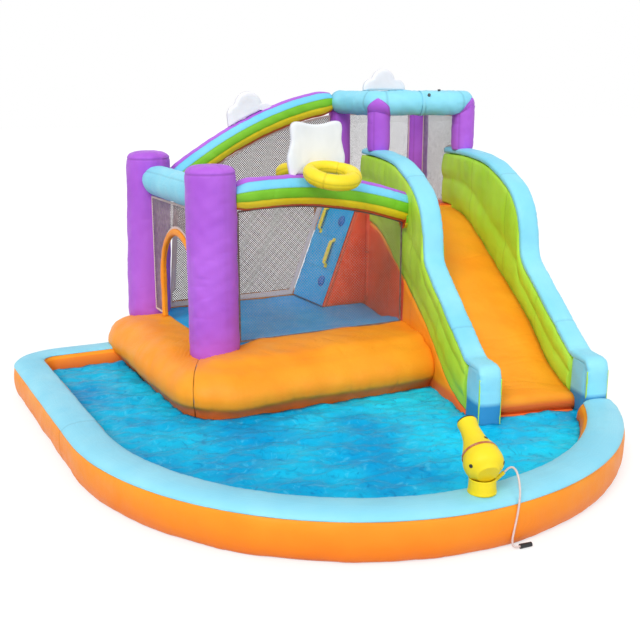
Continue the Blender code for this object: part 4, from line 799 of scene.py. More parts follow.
def add_pool():
    line = pool_line()
    section = smooth(POOL_SECTION, 0.012, closed=True)
    skin = Skin(pool_ends(swept(line, section)))
    top = skin.points[..., 2]
    skin.roll(0.0025, 0.40, 11)
    skin.roll(0.0010, 0.12, 12)
    skin.seams(20, rows=WALL_SEAMS, depth=0.004, width=0.006, pucker=0.004, reach=0.035, step=0.05)
    for k, (x, z, depth) in enumerate(((0.112, 0.20, 0.001), (0.095, 0.02, 0.00125), (-0.095, 0.02, 0.00125))):
        column = int(np.argmin(np.hypot(section[:, 0] - x, section[:, 1] - z)))
        skin.gathers(depth, 0.035, 0.07, 31 + k, columns=(column,))
    skin.creases(24, 0.06, 0.014, 0.0014, 41, spread=0.5)
    skin.push[top < 0.004] = 0.0
    skin.hold(np.where(top > 0.19, 0.0012, np.inf))
    # The wall's inner side near the water takes the darker orange of painted shade and reflection
    shaded_waterside = (section[:, 0] < -0.08) & (section[:, 1] < 0.215)
    cover("pool_wall", "orange", skin, ORANGE, WATERSIDE_SHADE_ORANGE, kinds=shaded_waterside.astype(int))

    # The panel lies on the wall's top, from its outer shoulder to its inner edge
    section = smooth(POOL_SECTION, 0.006, closed=True)
    upper = section[section[:, 1] > np.where(section[:, 0] > 0, 0.204, 0.226)]
    upper = upper[np.argsort(-upper[:, 0])]
    out = unit(np.gradient(upper, axis=0))[:, ::-1] * (-1, 1)
    out *= np.sign(out[len(out) // 2, 1])
    over, under = upper + out * 0.0058, upper + out * 0.0030
    over[[0, -1]] = upper[[0, -1]] + out[[0, -1]] * 0.0042
    count = len(over)
    skin = Skin(pool_ends(swept(line, np.vstack([over, under[::-1]]))))
    skin.roll(0.0010, 0.2, 51)
    skin.seams(60, rows=WALL_SEAMS, depth=0.002, width=0.005, pucker=0.002, reach=0.035, step=0.05)
    for column in (1, count - 2):
        skin.gathers(0.002, 0.025, 0.06, 70 + column, columns=(column,))
    skin.push = np.maximum(skin.push, -0.0016) * (np.arange(2 * count) < count)
    panel = Shell().skin(skin).build("pool_rim_sheet", PANEL_BLUE, node="pool_rim_panel", slot="light_blue")
    return line


def pool_outline(line, wall_gap, side):
    """Plan of the pool's inside: the wall's inner side, the slide and the bolsters."""
    inner = (line - np.cross(unit(np.gradient(line, axis=0)), Z) * (POOL_WALL_WIDTH / 2 + wall_gap))[::4]
    end, bed, edge, front = BLOCK_END + 0.002, 2.035, SLIDE_HALF + 0.012, BASE_FRONT + side
    slide = [SLIDE_HEAD + DOWN * s + ACROSS * t for s, t in
             ((end, min((inner[-1] - SLIDE_HEAD) @ ACROSS, SLIDE_HALF)), (end, SLIDE_INNER),
              (bed, SLIDE_INNER), (bed, -SLIDE_INNER), (end, -SLIDE_INNER), (end, -edge),
              ((SLIDE_HEAD[1] - front) / math.cos(SLIDE_TURN), -edge))]
    slide[-1][1] = front
    corner = arc(BASE_LEFT + BASE_CORNER, BASE_FRONT + BASE_CORNER, BASE_CORNER - side, 270, 180, 14)
    return np.vstack([inner[:, :2], np.array(slide)[:, :2], corner, (BASE_LEFT + side, inner[0][1])])


def inside(outline, points):
    """Which points lie within a plan outline."""
    found = np.zeros(len(points), bool)
    x, y = points.T
    for (x1, y1), (x2, y2) in zip(outline, np.roll(outline, -1, axis=0)):
        if y1 != y2:
            found ^= ((y1 > y) != (y2 > y)) & (x < (x2 - x1) * (y - y1) / (y2 - y1) + x1)
    return found


def filled(outline, step, height):
    """A sheet over a plan outline: its points, its faces, and its border's points in order."""
    outline = spaced(outline, step, closed=True)
    low, high = outline.min(axis=0), outline.max(axis=0)
    xs, ys = np.arange(low[0], high[0], step), np.arange(low[1], high[1], step * 0.866)
    grid = np.array([(x + (step / 2 if row % 2 else 0.0), y) for row, y in enumerate(ys) for x in xs])
    grid = grid[inside(outline, grid)]
    near = np.min([np.hypot(grid[:, 0] - x, grid[:, 1] - y) for x, y in outline], axis=0)
    flat = np.vstack([outline, grid[near > step * 0.6]])
    count = len(outline)
    edges = [(i, (i + 1) % count) for i in range(count)]
    points, _, faces, *_ = delaunay_2d_cdt([Vector(p) for p in flat], edges, [], 1, 1e-6)
    points = np.array(points)
    return level(points, height(points)), [tuple(f) for f in faces], edges


def add_slab(name, outline, step, top, base, material, slot=None, node=None):
    """A closed slab over a plan outline with a shaped top and a flat underside."""
    points, faces, edges = filled(outline, step, top)
    n = len(points)
    a, b, c = points[list(faces[0][:3])]
    if np.cross(b - a, c - a)[2] < 0:
        faces = [f[::-1] for f in faces]
    sides = [(a, b, b + n, a + n) for a, b in edges]
    if sum(points[a][0] * points[b][1] - points[b][0] * points[a][1] for a, b in edges) > 0:
        sides = [s[::-1] for s in sides]
    shell = Shell()
    shell.add(np.vstack([points, level(points[:, :2], base)]),
              faces + [tuple(i + n for i in f[::-1]) for f in faces] + sides)
    return shell.build(name, material, node=node, slot=slot)


def add_water(line):
    def ripples(p):
        q = level(p, 0.0)
        return WATER_Z + (0.006 * waves(q, 0.16, 81, 7) + 0.004 * waves(q * (1.0, 1.7, 1.0), 0.085, 82, 7))

    def wavy(p):
        return 0.0045 + 0.0015 * waves(level(p, 0.0), 0.25, 83)
    side = base_side(WATER_Z) - 0.002
    add_slab("pool_water", pool_outline(line, 0.001, side), 0.022, ripples, 0.010, WATER)
    outline = pool_outline(line, -0.03, 0.115)
    sheet = add_slab("pool_ground_sheet", outline, 0.05, wavy, LOWEST, SHEET_BLUE, "floor_blue", "pool_floor")


# Bolsters, bounce floor and posts


def slide_left_x(y, gap):
    """How far to the right the slide's left side lies, seen from above."""
    s = (SLIDE_HEAD[1] + (SLIDE_HALF + gap) * math.sin(SLIDE_TURN) - y) / math.cos(SLIDE_TURN)
    return (SLIDE_HEAD + DOWN * s - ACROSS * (SLIDE_HALF + gap))[0]


def tower_left(y):
    """The tower's left face, seen from above."""
    corner = SLIDE_HEAD - ACROSS * SLIDE_HALF
    share = (y - corner[1]) / (BASE_BACK - corner[1])
    return corner[0] + (TOWER_BACK_LEFT - corner[0]) * share


def base_ring(inset):
    """Plan of the base at this inset, from the back's right end round the left side to the front's."""
    left, front, back = BASE_LEFT + inset, BASE_FRONT + inset, BASE_BACK - inset
    line = [(TOWER_BACK_LEFT + 0.3, back)]
    radius = max(BACK_CORNER - inset, 0.02)
    line += arc(left + radius, back - radius, radius, 90, 180, 16)
    radius = max(BASE_CORNER - inset, 0.02)
    line += arc(left + radius, front + radius, radius, 180, 270, 16)
    return spaced(line + [(SLIDE_HEAD[0], front)], 0.004)


def mitre(p):
    """Above zero on the left bolster's side of the corner seam."""
    across, along = FLOOR_LEFT - BASE_LEFT, FLOOR_FRONT - BASE_FRONT
    return across * (p[1] - BASE_FRONT) - along * (p[0] - BASE_LEFT)


def add_bolsters():
    edge = 0.0006
    parts = (("front_bolster", FLOOR_FRONT - BASE_FRONT - GAP, 230,
              lambda p: mitre(p) < -edge and p[1] < FLOOR_FRONT and p[0] < slide_left_x(p[1], 0.001)),
             ("left_bolster", FLOOR_LEFT - BASE_LEFT - GAP, 240,
              lambda p: mitre(p) > edge and p[1] < FLOOR_BACK and p[0] < FLOOR_LEFT),
             ("back_bolster", BASE_BACK - FLOOR_BACK - GAP, 210,
              lambda p: p[1] > FLOOR_BACK + GAP and p[0] < TOWER_BACK_LEFT - 0.001))
    heights = (SKIN_FOOT, 0.02, 0.05, 0.09, 0.125, 0.15, 0.175, 0.19, 0.202, 0.214, 0.23, 0.255, 0.285, 0.32,
               0.35, 0.378, 0.395, 0.408)
    low = heights.index(0.202)
    for seed, (name, deep, count, within) in enumerate(parts):
        profile = [(base_side(z), z) for z in heights]
        profile += [(a, BOLSTER_TOP - 0.010 + 0.006 * ease((a - 0.16) / 0.10))
                    for a in np.arange(0.20, deep, 0.022)]
        profile += [(deep, z) for z in (BOLSTER_TOP - 0.008, 0.36, 0.24, 0.12, SKIN_FOOT)]
        profile += [(a, SKIN_FOOT) for a in np.linspace(deep, 0.13, 6)[1:-1]]
        rings = []
        for inset, z in profile:
            ring = base_ring(inset)
            part = ring[[bool(within(p)) for p in ring]]
            if len(part) < 2:
                part = np.vstack([part, part]) if len(part) else ring[:2]
            line = resampled(part, count)
            # The wide front bolster is crowned, but not at its corner seam
            crowned = z > 0.41 and deep > 0.5
            crown = 0.030 * math.sin(math.pi * inset / deep) * ease((inset - 0.16) / 0.10) * crowned
            rings.append(level(line, z + crown * ease(run_of(line) / 0.25)))
        skin = Skin(np.stack(rings, axis=1))
        p = skin.points
        # The posts stand in the bolsters and pull their tops down
        for y in (FRONT_LINE_Y, BACK_LINE_Y):
            dx, dy = p[..., 0] - POST_LINE_X, p[..., 1] - y
            away = np.hypot(dx, dy)
            p[..., 2] -= 0.035 * ease((p[..., 2] - 0.30) / 0.1) * np.exp(-((away / 0.22) ** 4))
            near = np.clip(away - POST_RADIUS, 0, None) + 9 * (p[..., 2] < 0.25)
            skin.gather(near, np.arctan2(dy, dx) * 0.2, 0.008, 0.07, 0.075, 90 + seed)
        skin.roll(0.006, 0.45, 93)
        skin.roll(0.002, 0.13, 96)
        for s in (0.0, skin.length):
            skin.gather(skin.from_row(s), skin.t, 0.005, 0.05, 0.07, 99)
            skin.push -= 0.0015 * np.exp(-((skin.from_row(s) / 0.012) ** 2))
        shared = skin.push.copy()
        skin.gathers(0.004, 0.045, 0.075, 102 + seed, columns=(low,))
        skin.creases(40, 0.07, 0.012, 0.004, 105 + seed, spread=0.5)
        from_end = np.minimum(skin.from_row(0.0), skin.from_row(skin.length))
        skin.push = shared + (skin.push - shared) * ease(from_end / 0.12)
        skin.push *= np.arange(len(profile)) < len(profile) - 9
        skin.hold(0.012)
        blue = (p[..., 1] > FRONT_LINE_Y + 0.006) & (p[..., 2] > 0.37)
        blue[0, 0] = True
        cover(name, "orange", skin, BASE_ORANGE, FLOOR_BLUE, kinds=blue * int(name == "front_bolster"))


def floor_right(y):
    """The bounce floor's right end: the slide, then the tower."""
    if y < (SLIDE_HEAD - ACROSS * SLIDE_HALF)[1]:
        return slide_left_x(y, 0.002)
    return tower_left(y) - 0.002


def add_floor():
    ys = np.linspace(FLOOR_FRONT + 0.001, FLOOR_BACK - 0.001, 70)
    rows = []
    for y in ys:
        xs = np.linspace(FLOOR_LEFT + 0.001, floor_right(y), 130)
        beam = np.abs(np.sin((xs - FLOOR_LEFT) * math.pi / FLOOR_BEAM))
        soft = ease(np.minimum(xs - xs[0], xs[-1] - xs) / 0.03) * ease(min(y - ys[0], ys[-1] - y) / 0.03)
        top = places(xs, y, FLOOR_TOP - 0.020 + soft * (0.019 + 0.008 * beam))
        rows.append(np.vstack([top, places(xs[::-6], y, SKIN_FOOT)]))
    skin = Skin(rows)
    upper = np.arange(skin.points.shape[1]) < 130
    for k in range(1, 5):
        away = np.abs(skin.points[..., 0] - (FLOOR_LEFT + FLOOR_BEAM * k)) + 9 * ~upper
        skin.gather(away, skin.s, 0.0025, 0.05, 0.06, 119 + k)
    skin.roll(0.002, 0.2, 125)
    skin.push *= upper
    cover("bounce_floor", "floor_blue", skin, FLOOR_BLUE)


def post_lean(y, z):
    """How far the back left post stands over towards the house at a height."""
    share = np.clip((y - FRONT_LINE_Y) / (BACK_LINE_Y - FRONT_LINE_Y), 0, 1)
    return BACK_POST_LEAN * share * np.clip((z - BOLSTER_TOP) / (POST_SHOULDER_Z - BOLSTER_TOP), 0, 1)


def add_house_posts():
    foot, shoulder, radius = FLOOR_TOP - 0.03, POST_SHOULDER_Z, POST_RADIUS
    body = spaced([(foot, radius * 0.93), (foot + 0.02, radius * 0.97), (foot + 0.06, radius),
                   ((foot + shoulder) / 2, radius * 1.012), (shoulder - 0.05, radius),
                   (shoulder, radius * 0.985)], 0.009)
    cap = [(shoulder + POST_DOME * math.sin(a), radius * 0.985 * math.cos(a) ** 0.62)
           for a in np.radians(np.linspace(6, 89.7, 16))]
    for seed, (name, y) in enumerate((("post_front_left", FRONT_LINE_Y), ("post_back_left", BACK_LINE_Y))):
        skin = Skin([level(circle(1.0, 84) * r + (POST_LINE_X + post_lean(y, z), y), z)
                     for z, r in np.vstack([body, cap])])
        top = float(skin.s[len(body) - 1, 0])
        finish_tube(skin, 130 + 20 * seed, (0.03, 0.28, 0.53, 0.78), (top,), creases=26)
        skin.gathers(0.007, 0.06, 0.06, 131 + seed, rows=(0.0,))
        cover(name, "purple", skin, PURPLE)


def on_post(y, side):
    """Where a tube along Y meets the round side of a house post, or where one along X does if side is 0."""
    gap = 0.001

    def along_y(p):
        off = p[:, 0] - POST_LINE_X - post_lean(y, p[:, 2])
        return y + side * (np.sqrt(np.clip(POST_RADIUS**2 - off**2, 0, None)) + gap)

    def along_x(p):
        reach = np.sqrt(np.clip(POST_RADIUS**2 - (p[:, 1] - y) ** 2, 0, None))
        return POST_LINE_X + post_lean(y, p[:, 2]) + reach + gap
    return along_x if side == 0 else along_y


def add_beam():
    low, high = FRONT_LINE_Y + POST_RADIUS * 0.9, BACK_LINE_Y - POST_RADIUS * 0.9
    ys = np.linspace(high, low, 130)
    path = places(POST_LINE_X + post_lean(ys, BEAM_Z), ys, BEAM_Z)
    points = tube(path, 60, BEAM_RADIUS * end_taper(high - ys, 0.78, 0.13))
    fit_end(points, 10, False, Y, on_post(BACK_LINE_Y, -1))
    fit_end(points, 10, True, Y, on_post(FRONT_LINE_Y, 1))
    skin = Skin(points)
    finish_tube(skin, 170, (0.12, 0.62), ends=0.006, creases=14)
    cover("entry_beam", "light_blue", skin, LIGHT_BLUE)


def arch_height(arch, xs):
    top_x, top_z = arch["top"]
    return top_z - arch["curve"] * (xs - top_x) ** 2


def add_arch(name, arch, bands, y, end_x, end_target, seed):
    xs = np.linspace(POST_LINE_X + POST_RADIUS * 0.9, end_x, 190)
    path = spaced(places(xs, y, arch_height(arch, xs)), 0.009)
    wide = arch["radius"] * end_taper(run_of(path), 0.80, 0.12)
    angles, kinds, joints = [], [], []
    for (start, kind), (stop, _) in zip(bands, bands[1:]):
        count = max(3, int((stop - start) / 5))
        joints.append(len(angles))
        angles += list(np.radians(np.linspace(start, stop, count, endpoint=False)))
        kinds += [kind] * count
    section = np.stack([np.cos(angles), np.sin(angles)], axis=1)
    points = swept(path, section * wide[:, None, None])
    fit_end(points, 10, False, X, on_post(y, 0))
    if end_target:
        fit_end(points, 12, True, X, end_target)
    skin = Skin(points)
    finish_tube(skin, seed, ends=0.006, creases=20)
    skin.seams(seed + 20, columns=joints[1:], depth=0.0022, width=0.004, pucker=0.002, reach=0.022, step=0.04)
    cover(name, "green", skin, DEEP_ORANGE, YELLOW, ARCH_GREEN, ARCH_BLUE, PURPLE, kinds=kinds)


def add_arches():
    plane = -(SLIDE_HALF + 0.016) + SLIDE_HEAD @ ACROSS
    add_arch("front_arch", FRONT_ARCH, FRONT_BANDS, FRONT_LINE_Y, 0.93,
             lambda p: (plane - p[:, 1] * ACROSS[1]) / ACROSS[0], 190)
    add_arch("back_arch", BACK_ARCH, BACK_BANDS, BACK_LINE_Y, 0.875, None, 230)


# Slide


def slide_place(s, t, z):
    """Layout points from arrays of how far down the slide, across it and up."""
    s, t, z = np.broadcast_arrays(s, t, z)
    return SLIDE_HEAD + DOWN * s[..., None] + ACROSS * t[..., None] + Z * z[..., None]


BED_LINE = smooth(BED_PROFILE, 0.009)
RIM_LINE = smooth(RIM_PROFILE, 0.009)


def bed_height(s):
    return np.interp(s, BED_LINE[:, 0], BED_LINE[:, 1])


def bed_under(s):
    tangent = unit(np.gradient(BED_LINE, axis=0))
    under = BED_LINE + np.column_stack([tangent[:, 1], -tangent[:, 0]]) * BED_THICKNESS
    return np.interp(s, under[:, 0], under[:, 1])


def lobes(z, edges):
    """1 in the middle of each stretch between heights and 0 at its edges."""
    found = np.zeros_like(z)
    for low, high in zip(edges, edges[1:]):
        share = np.clip((z - low) / np.maximum(high - low, 1e-6), 0, 1)
        found = np.maximum(found, np.sin(math.pi * share) ** 0.55)
    return found


def add_slide_walls():
    for side, sign in (("left", -1.0), ("right", 1.0)):
        columns = 26
        rows = []
        for s, top in RIM_LINE[RIM_LINE[:, 0] < BLOCK_BACK - 0.004]:
            high = top - RIM_HEIGHT - 0.001
            low = TOWER_TOP + 0.002 if s < 0.002 else float(bed_under(s)) + 0.002
            bed = TOWER_TOP if s < 0.0 else float(bed_height(s))
            mid = min(bed + 0.21, (bed + high) / 2)
            z = np.linspace(low, high, columns)
            inner = SLIDE_INNER + 0.0005 - 0.016 * lobes(z, (bed - 0.02, mid, high)) * (z > bed - 0.02)
            base = max(low, bed - 0.02)
            outer = SLIDE_HALF - 0.004 + 0.014 * lobes(z, (base, mid + 0.02, high)) * (z > base)
            up = slide_place(s, inner * sign, z)
            over = slide_place(s, np.linspace(inner[-1], outer[-1], 6)[1:-1] * sign, high)
            down = slide_place(s, outer[::-1] * sign, z[::-1])
            under = slide_place(s, np.linspace(outer[0], inner[0], 6)[1:-1] * sign, low)
            rows.append(np.vstack([up, over, down, under]))
        skin = Skin(rows)
        skin.roll(0.003, 0.25, 260)
        skin.roll(0.0015, 0.09, 261)
        skin.gathers(0.004, 0.035, 0.06, 262, columns=(columns - 2, columns + 5))
        skin.seams(266, rows=(0.62, 1.25, 1.95), depth=0.003, width=0.005, pucker=0.004, reach=0.03,
                   step=0.05)
        skin.creases(12, 0.08, 0.016, 0.002, 270 + (sign > 0), spread=0.8)
        cover(f"slide_wall_{side}", "green", skin, GREEN)
        add_rim(side, sign)


def add_rim(side, sign):
    wide, thick = (SLIDE_HALF - SLIDE_INNER) / 2 + 0.004, RIM_HEIGHT / 2
    middle = sign * (SLIDE_HALF + SLIDE_INNER) / 2
    angle = around(44)
    section = np.column_stack([wide * blunt(np.cos(angle), 0.62),
                               (thick + 0.004) * blunt(np.sin(angle), 0.72)])
    section[:, 1] = np.where(section[:, 1] < 0, section[:, 1] * 0.8, section[:, 1] * 1.25)
    # The band runs on over the end block and down its front
    front = BLOCK_END - 0.031
    line = [tuple(p) for p in RIM_LINE[RIM_LINE[:, 0] < BLOCK_BACK - 0.04] - (0.0, thick)]
    line += [(BLOCK_BACK + 0.01, BLOCK_TOP - thick + 0.002), (front - 0.08, BLOCK_TOP - thick),
             (front - 0.025, BLOCK_TOP - thick - 0.006), (front - 0.004, BLOCK_TOP - thick - 0.03),
             (front, BLOCK_TOP - 0.09)]
    bend, down = smooth(line[-9:], 0.009), np.arange(BLOCK_TOP - 0.10, 0.03, -0.012)
    before = RIM_LINE[RIM_LINE[:, 0] < bend[0][0] - 0.004] - (0.0, thick)
    line = np.vstack([before, bend, [(front, z) for z in down]])
    path = slide_place(line[:, 0], middle, line[:, 1])
    skin = Skin(swept(path, section, side=-ACROSS))
    skin.roll(0.0015, 0.2, 280)
    skin.gathers(0.003, 0.03, 0.06, 281, shares=(0.02, 0.48))
    skin.seams(284, rows=(1.05, 2.3), depth=0.002, width=0.005, pucker=0.003, reach=0.03, step=0.04)
    skin.creases(24, 0.045, 0.010, 0.003, 288, spread=0.4)
    shell = Shell().skin(skin)

    rows = []
    half = (SLIDE_HALF - SLIDE_INNER) / 2
    foot = 0.008
    heights = np.concatenate([np.linspace(foot, BLOCK_TOP - 0.042, 62),
                              BLOCK_TOP - 0.042 + 0.034 * np.sin(np.linspace(0.15, 1.0, 9) * math.pi / 2)])
    end = BLOCK_END - 0.028
    for z in heights:
        middle_s, long = (BLOCK_BACK + 0.001 + end) / 2, (end - BLOCK_BACK - 0.001) / 2
        cap = max(0.0, (z - BLOCK_TOP + 0.042) / 0.036)
        shrink = 0.045 * (1 - math.sqrt(max(1 - cap**2, 0.0)))
        tuck = 0.012 * ease(1 - (z - foot) / 0.03)
        u = blunt(np.cos(angle), 0.42) * (long - shrink - tuck)
        v = blunt(np.sin(angle), 0.42) * (half - shrink - tuck)
        rows.append(slide_place(middle_s + u, middle + v, z))
    block = Skin(rows)
    block.push += 0.006 * np.sin(math.pi * np.clip((heights - foot) / (BLOCK_TOP - foot), 0, 1))[:, None]
    block.roll(0.002, 0.12, 290)
    shell.skin(block)
    for u in (-1, 1):
        corner = slide_place(BLOCK_END - 0.020, middle + u * (half - 0.001), np.linspace(0.03, BLOCK_TOP - 0.07, 40))
        shell.skin(Skin(swept(smooth(corner, 0.01), circle(0.0055, 10), side=-ACROSS)), 1)
    # The end block's dark blue foot is painted shade and water reflection
    shell.build(f"slide_rim_{side}_cover", BLOCK_BLUE_PAINTED_SHADE, GREEN, node=f"slide_rim_{side}",
                slot="light_blue", fill=1.0)


def add_bed():
    half = SLIDE_INNER - 0.002
    t = np.linspace(-half, half, 44)
    rows = []
    length = BED_LINE[-1, 0]
    tangent = unit(np.gradient(BED_LINE, axis=0))
    for (s, z), (ds, dz) in zip(BED_LINE, tangent):
        if s < 0.001:
            s = 0.001
        round_end = 0.05 * (1 - math.sqrt(max(1 - max(0.0, 1 - (length - s) / 0.05) ** 2, 0.0)))
        drop = BED_CROWN * (np.abs(t) / half) ** 2.2 - 0.004 + round_end
        top = slide_place(s + drop * dz, t, z - drop * ds)
        low = BED_THICKNESS - 0.001
        under = slide_place(s + low * dz, t[::-4], z - low * ds)
        rows.append(np.vstack([top, under]))
    skin = Skin(rows)
    upper = np.arange(len(skin.points[0])) < 44
    skin.roll(0.0025, 0.22, 300)
    skin.creases(16, 0.16, 0.014, 0.0035, 301, spread=0.25, start=skin.length - 0.75,
                 end=skin.length - 0.05)
    skin.creases(12, 0.12, 0.012, 0.003, 302, spread=0.5)
    skin.seams(303, columns=(1, 42), depth=0.002, width=0.006, pucker=0.005, reach=0.04, step=0.055)
    skin.push *= upper
    skin.hold(0.004)
    cover("slide_bed", "orange", skin, BASE_ORANGE)


def rounded_rectangle(wide, high, corner, count):
    """Points round a rectangle from (-wide, 0) to (wide, high) with rounded corners."""
    line = []
    for cx, cz, start in ((wide - corner, corner, -90), (wide - corner, high - corner, 0),
                          (-wide + corner, high - corner, 90), (-wide + corner, corner, 180)):
        line += arc(cx, cz, corner, start, start + 90, 6)
    line = spaced(line + line[:1], 0.001)
    lengths = np.linspace(0, len(line) - 1, count + 1)[:-1].astype(int)
    return line[lengths]


def add_wedge():
    rows = []
    ends = BED_LINE[-1, 0] - 0.002
    stops = np.concatenate([[0.001, 0.004, 0.010], np.arange(0.02, BLOCK_BACK - 0.008, 0.014),
                            [BLOCK_BACK - 0.004, BLOCK_BACK - 0.002],
                            np.arange(BLOCK_BACK + 0.01, ends - 0.01, 0.014), [ends - 0.004, ends]])
    for s in stops:
        high = float(bed_under(s)) - 0.002
        edge = min(s, ends - s)
        tuck = 0.008 * bend_in(edge, 0.012)
        half = SLIDE_HALF - 0.006 if s < BLOCK_BACK - 0.003 else SLIDE_INNER - 0.004
        outline = rounded_rectangle(half - tuck, high - tuck, 0.02, 96)
        rows.append(slide_place(s, outline[:, 0], outline[:, 1] + 0.001))
    skin = Skin(rows)
    p = skin.points
    high = p[..., 2].max(axis=1, keepdims=True)
    side = np.abs((p - SLIDE_HEAD) @ ACROSS) > SLIDE_HALF - 0.02
    skin.push += 0.010 * side * np.sin(math.pi * np.clip(p[..., 2] / high, 0, 1)) ** 0.6
    skin.roll(0.0025, 0.25, 310)
    low = np.abs(p[..., 2] - 0.02) + 9 * ~side
    skin.gather(low, skin.s, 0.006, 0.05, 0.07, 311)
    for k, s in enumerate((0.5, 1.0, 1.5)):
        skin.seam(skin.from_row(s) + 9 * ~side, skin.t, depth=0.004, width=0.006, pucker=0.005,
                  reach=0.04, step=0.06, seed=312 + k)
    skin.creases(30, 0.07, 0.012, 0.004, 316, spread=0.9)
    skin.hold(0.014, side)
    indoors = side & ((p - SLIDE_HEAD) @ ACROSS < 0) & (p[..., 1] > FRONT_LINE_Y)
    cover("slide_wedge", "orange", skin, BASE_ORANGE, RAMP_SIDE, kinds=indoors.astype(int))


# Tower


def stacked(outline, heights, tucks, corner=0.05):
    """Rings of a plan outline, each smoothed at its corners and drawn in by its tuck."""
    outline = np.array(outline)[:, :2]
    middle = outline.mean(axis=0)
    rows = []
    for z, tuck in zip(heights, tucks):
        ring = middle + (outline - middle) * (1 - tuck / 0.5)
        n = len(ring)
        line = []
        for i in range(n):
            a, b, c = ring[i - 1], ring[i], ring[(i + 1) % n]
            first, last = b + unit(a - b) * corner, b + unit(c - b) * corner
            for x in np.linspace(0, 1, 7):
                line.append(first * (1 - x) ** 2 + b * 2 * x * (1 - x) + last * x * x)
        ring = spaced(line, 0.002, closed=True)
        picks = np.linspace(0, len(ring), 161)[:-1].astype(int)
        rows.append(level(ring[picks], z))
    return np.array(rows)


def add_tower_base():
    left, right = (SLIDE_HEAD + ACROSS * t - DOWN * 0.001 for t in (-SLIDE_HALF, SLIDE_HALF))
    back = BASE_BACK - 0.001
    outline = (left, right, (TOWER_BACK_RIGHT, back, 0.0), (TOWER_BACK_LEFT + 0.001, back, 0.0))
    heights = np.concatenate([[0.001, 0.006, 0.014], np.linspace(0.025, TOWER_TOP - 0.02, 84),
                              [TOWER_TOP - 0.012, TOWER_TOP - 0.005, TOWER_TOP - 0.002]])
    edge = np.minimum(heights, TOWER_TOP - heights)
    tucks = 0.004 + 0.014 * bend_in(edge, 0.03)
    skin = Skin(stacked(outline, heights, tucks))
    x, y, z = np.moveaxis(skin.points, 2, 0)
    open_side = (y > 1.2) & (np.abs(x - SLIDE_HEAD[0]) > 0.35) | (y > BASE_BACK - 0.06)
    open_side &= ~((z < BOLSTER_TOP + 0.02) & (x < 1.1))
    skin.push += 0.012 * open_side * lobes(z, (0.0, 0.42, 0.78, TOWER_TOP))
    skin.roll(0.0025, 0.3, 320)
    for k, s in enumerate((0.42, 0.78)):
        skin.seam(np.abs(z - s), skin.t, depth=0.004, width=0.006, pucker=0.005, reach=0.04, step=0.06,
                  seed=321 + k)
    skin.creases(70, 0.07, 0.012, 0.005, 324, lean=0.0, spread=0.9)
    skin.hold(0.014, open_side)
    indoors = (x < tower_left(y) + 0.03) & (y < BACK_LINE_Y)
    cover("tower_base", "orange", skin, BASE_ORANGE, RAMP_SIDE, kinds=indoors.astype(int))


def ring_corners():
    return [np.array((BACK_POST_LEFT_X, BACK_LINE_Y, 0.0)), SLIDE_HEAD - ACROSS * TOWER_POST_INSET,
            SLIDE_HEAD + ACROSS * TOWER_POST_INSET, np.array((BACK_POST_RIGHT_X, BACK_LINE_Y, 0.0))]


def ring_line():
    """The ring's middle line and, for each corner, how far along it the corner lies."""
    corners = ring_corners()
    middle = sum(corners) / 4
    pushed = [c + unit(c - middle) * RING_PUSH for c in corners]
    path, marks = [], []
    for i in range(4):
        corner = pushed[i]
        before, after = unit(pushed[i - 1] - corner), unit(pushed[(i + 1) % 4] - corner)
        half = math.acos(float(before @ after)) / 2
        centre = corner + unit(before + after) * (RING_CORNER / math.sin(half))
        first = unit(corner + before * (RING_CORNER / math.tan(half)) - centre)
        turn = math.pi - 2 * half
        marks.append(len(path) + 8)
        for k in range(17):
            angle = turn * k / 16
            spoke = first * math.cos(angle) + np.cross(Z, first) * math.sin(angle)
            path.append(centre + spoke * RING_CORNER + Z * RING_Z)
    path = np.array(path)
    corners_at = [path[k] for k in marks]
    path = spaced(path, 0.009, closed=True)
    return path, [int(np.argmin(np.linalg.norm(path - c, axis=1))) for c in corners_at]


def add_ring():
    path, corners = ring_line()
    skin = Skin(swept(path, circle(RING_RADIUS, 56), closed=True), closed=True)
    p = skin.points
    at = [float(skin.s[k, 0]) for k in corners]
    skin.roll(0.003, 0.25, 330)
    skin.roll(0.0015, 0.08, 331)
    for k, s in enumerate(at):
        for shift in (-0.055, 0.055):
            skin.seams(332 + k, rows=(s + shift,), depth=0.003, width=0.005, pucker=0.004, reach=0.035,
                       step=0.04)
    for k, (share, pucker, reach) in enumerate(((0.74, 0.007, 0.05), (0.27, 0.003, 0.035))):
        skin.seams(340 + k, shares=(share,), depth=0.003, width=0.005, pucker=pucker, reach=reach, step=0.05)
    pinch = at[1] + 0.49 * (at[2] - at[1])
    skin.push -= 0.010 * np.exp(-((skin.from_row(pinch) / 0.014) ** 2)) * (p[..., 2] < RING_Z - 0.02)
    skin.gather(skin.from_row(pinch), skin.t, 0.005, 0.04, 0.04, 343)
    skin.creases(50, 0.05, 0.010, 0.004, 344)
    cover("tower_ring", "light_blue", skin, LIGHT_BLUE)
    return path, corners


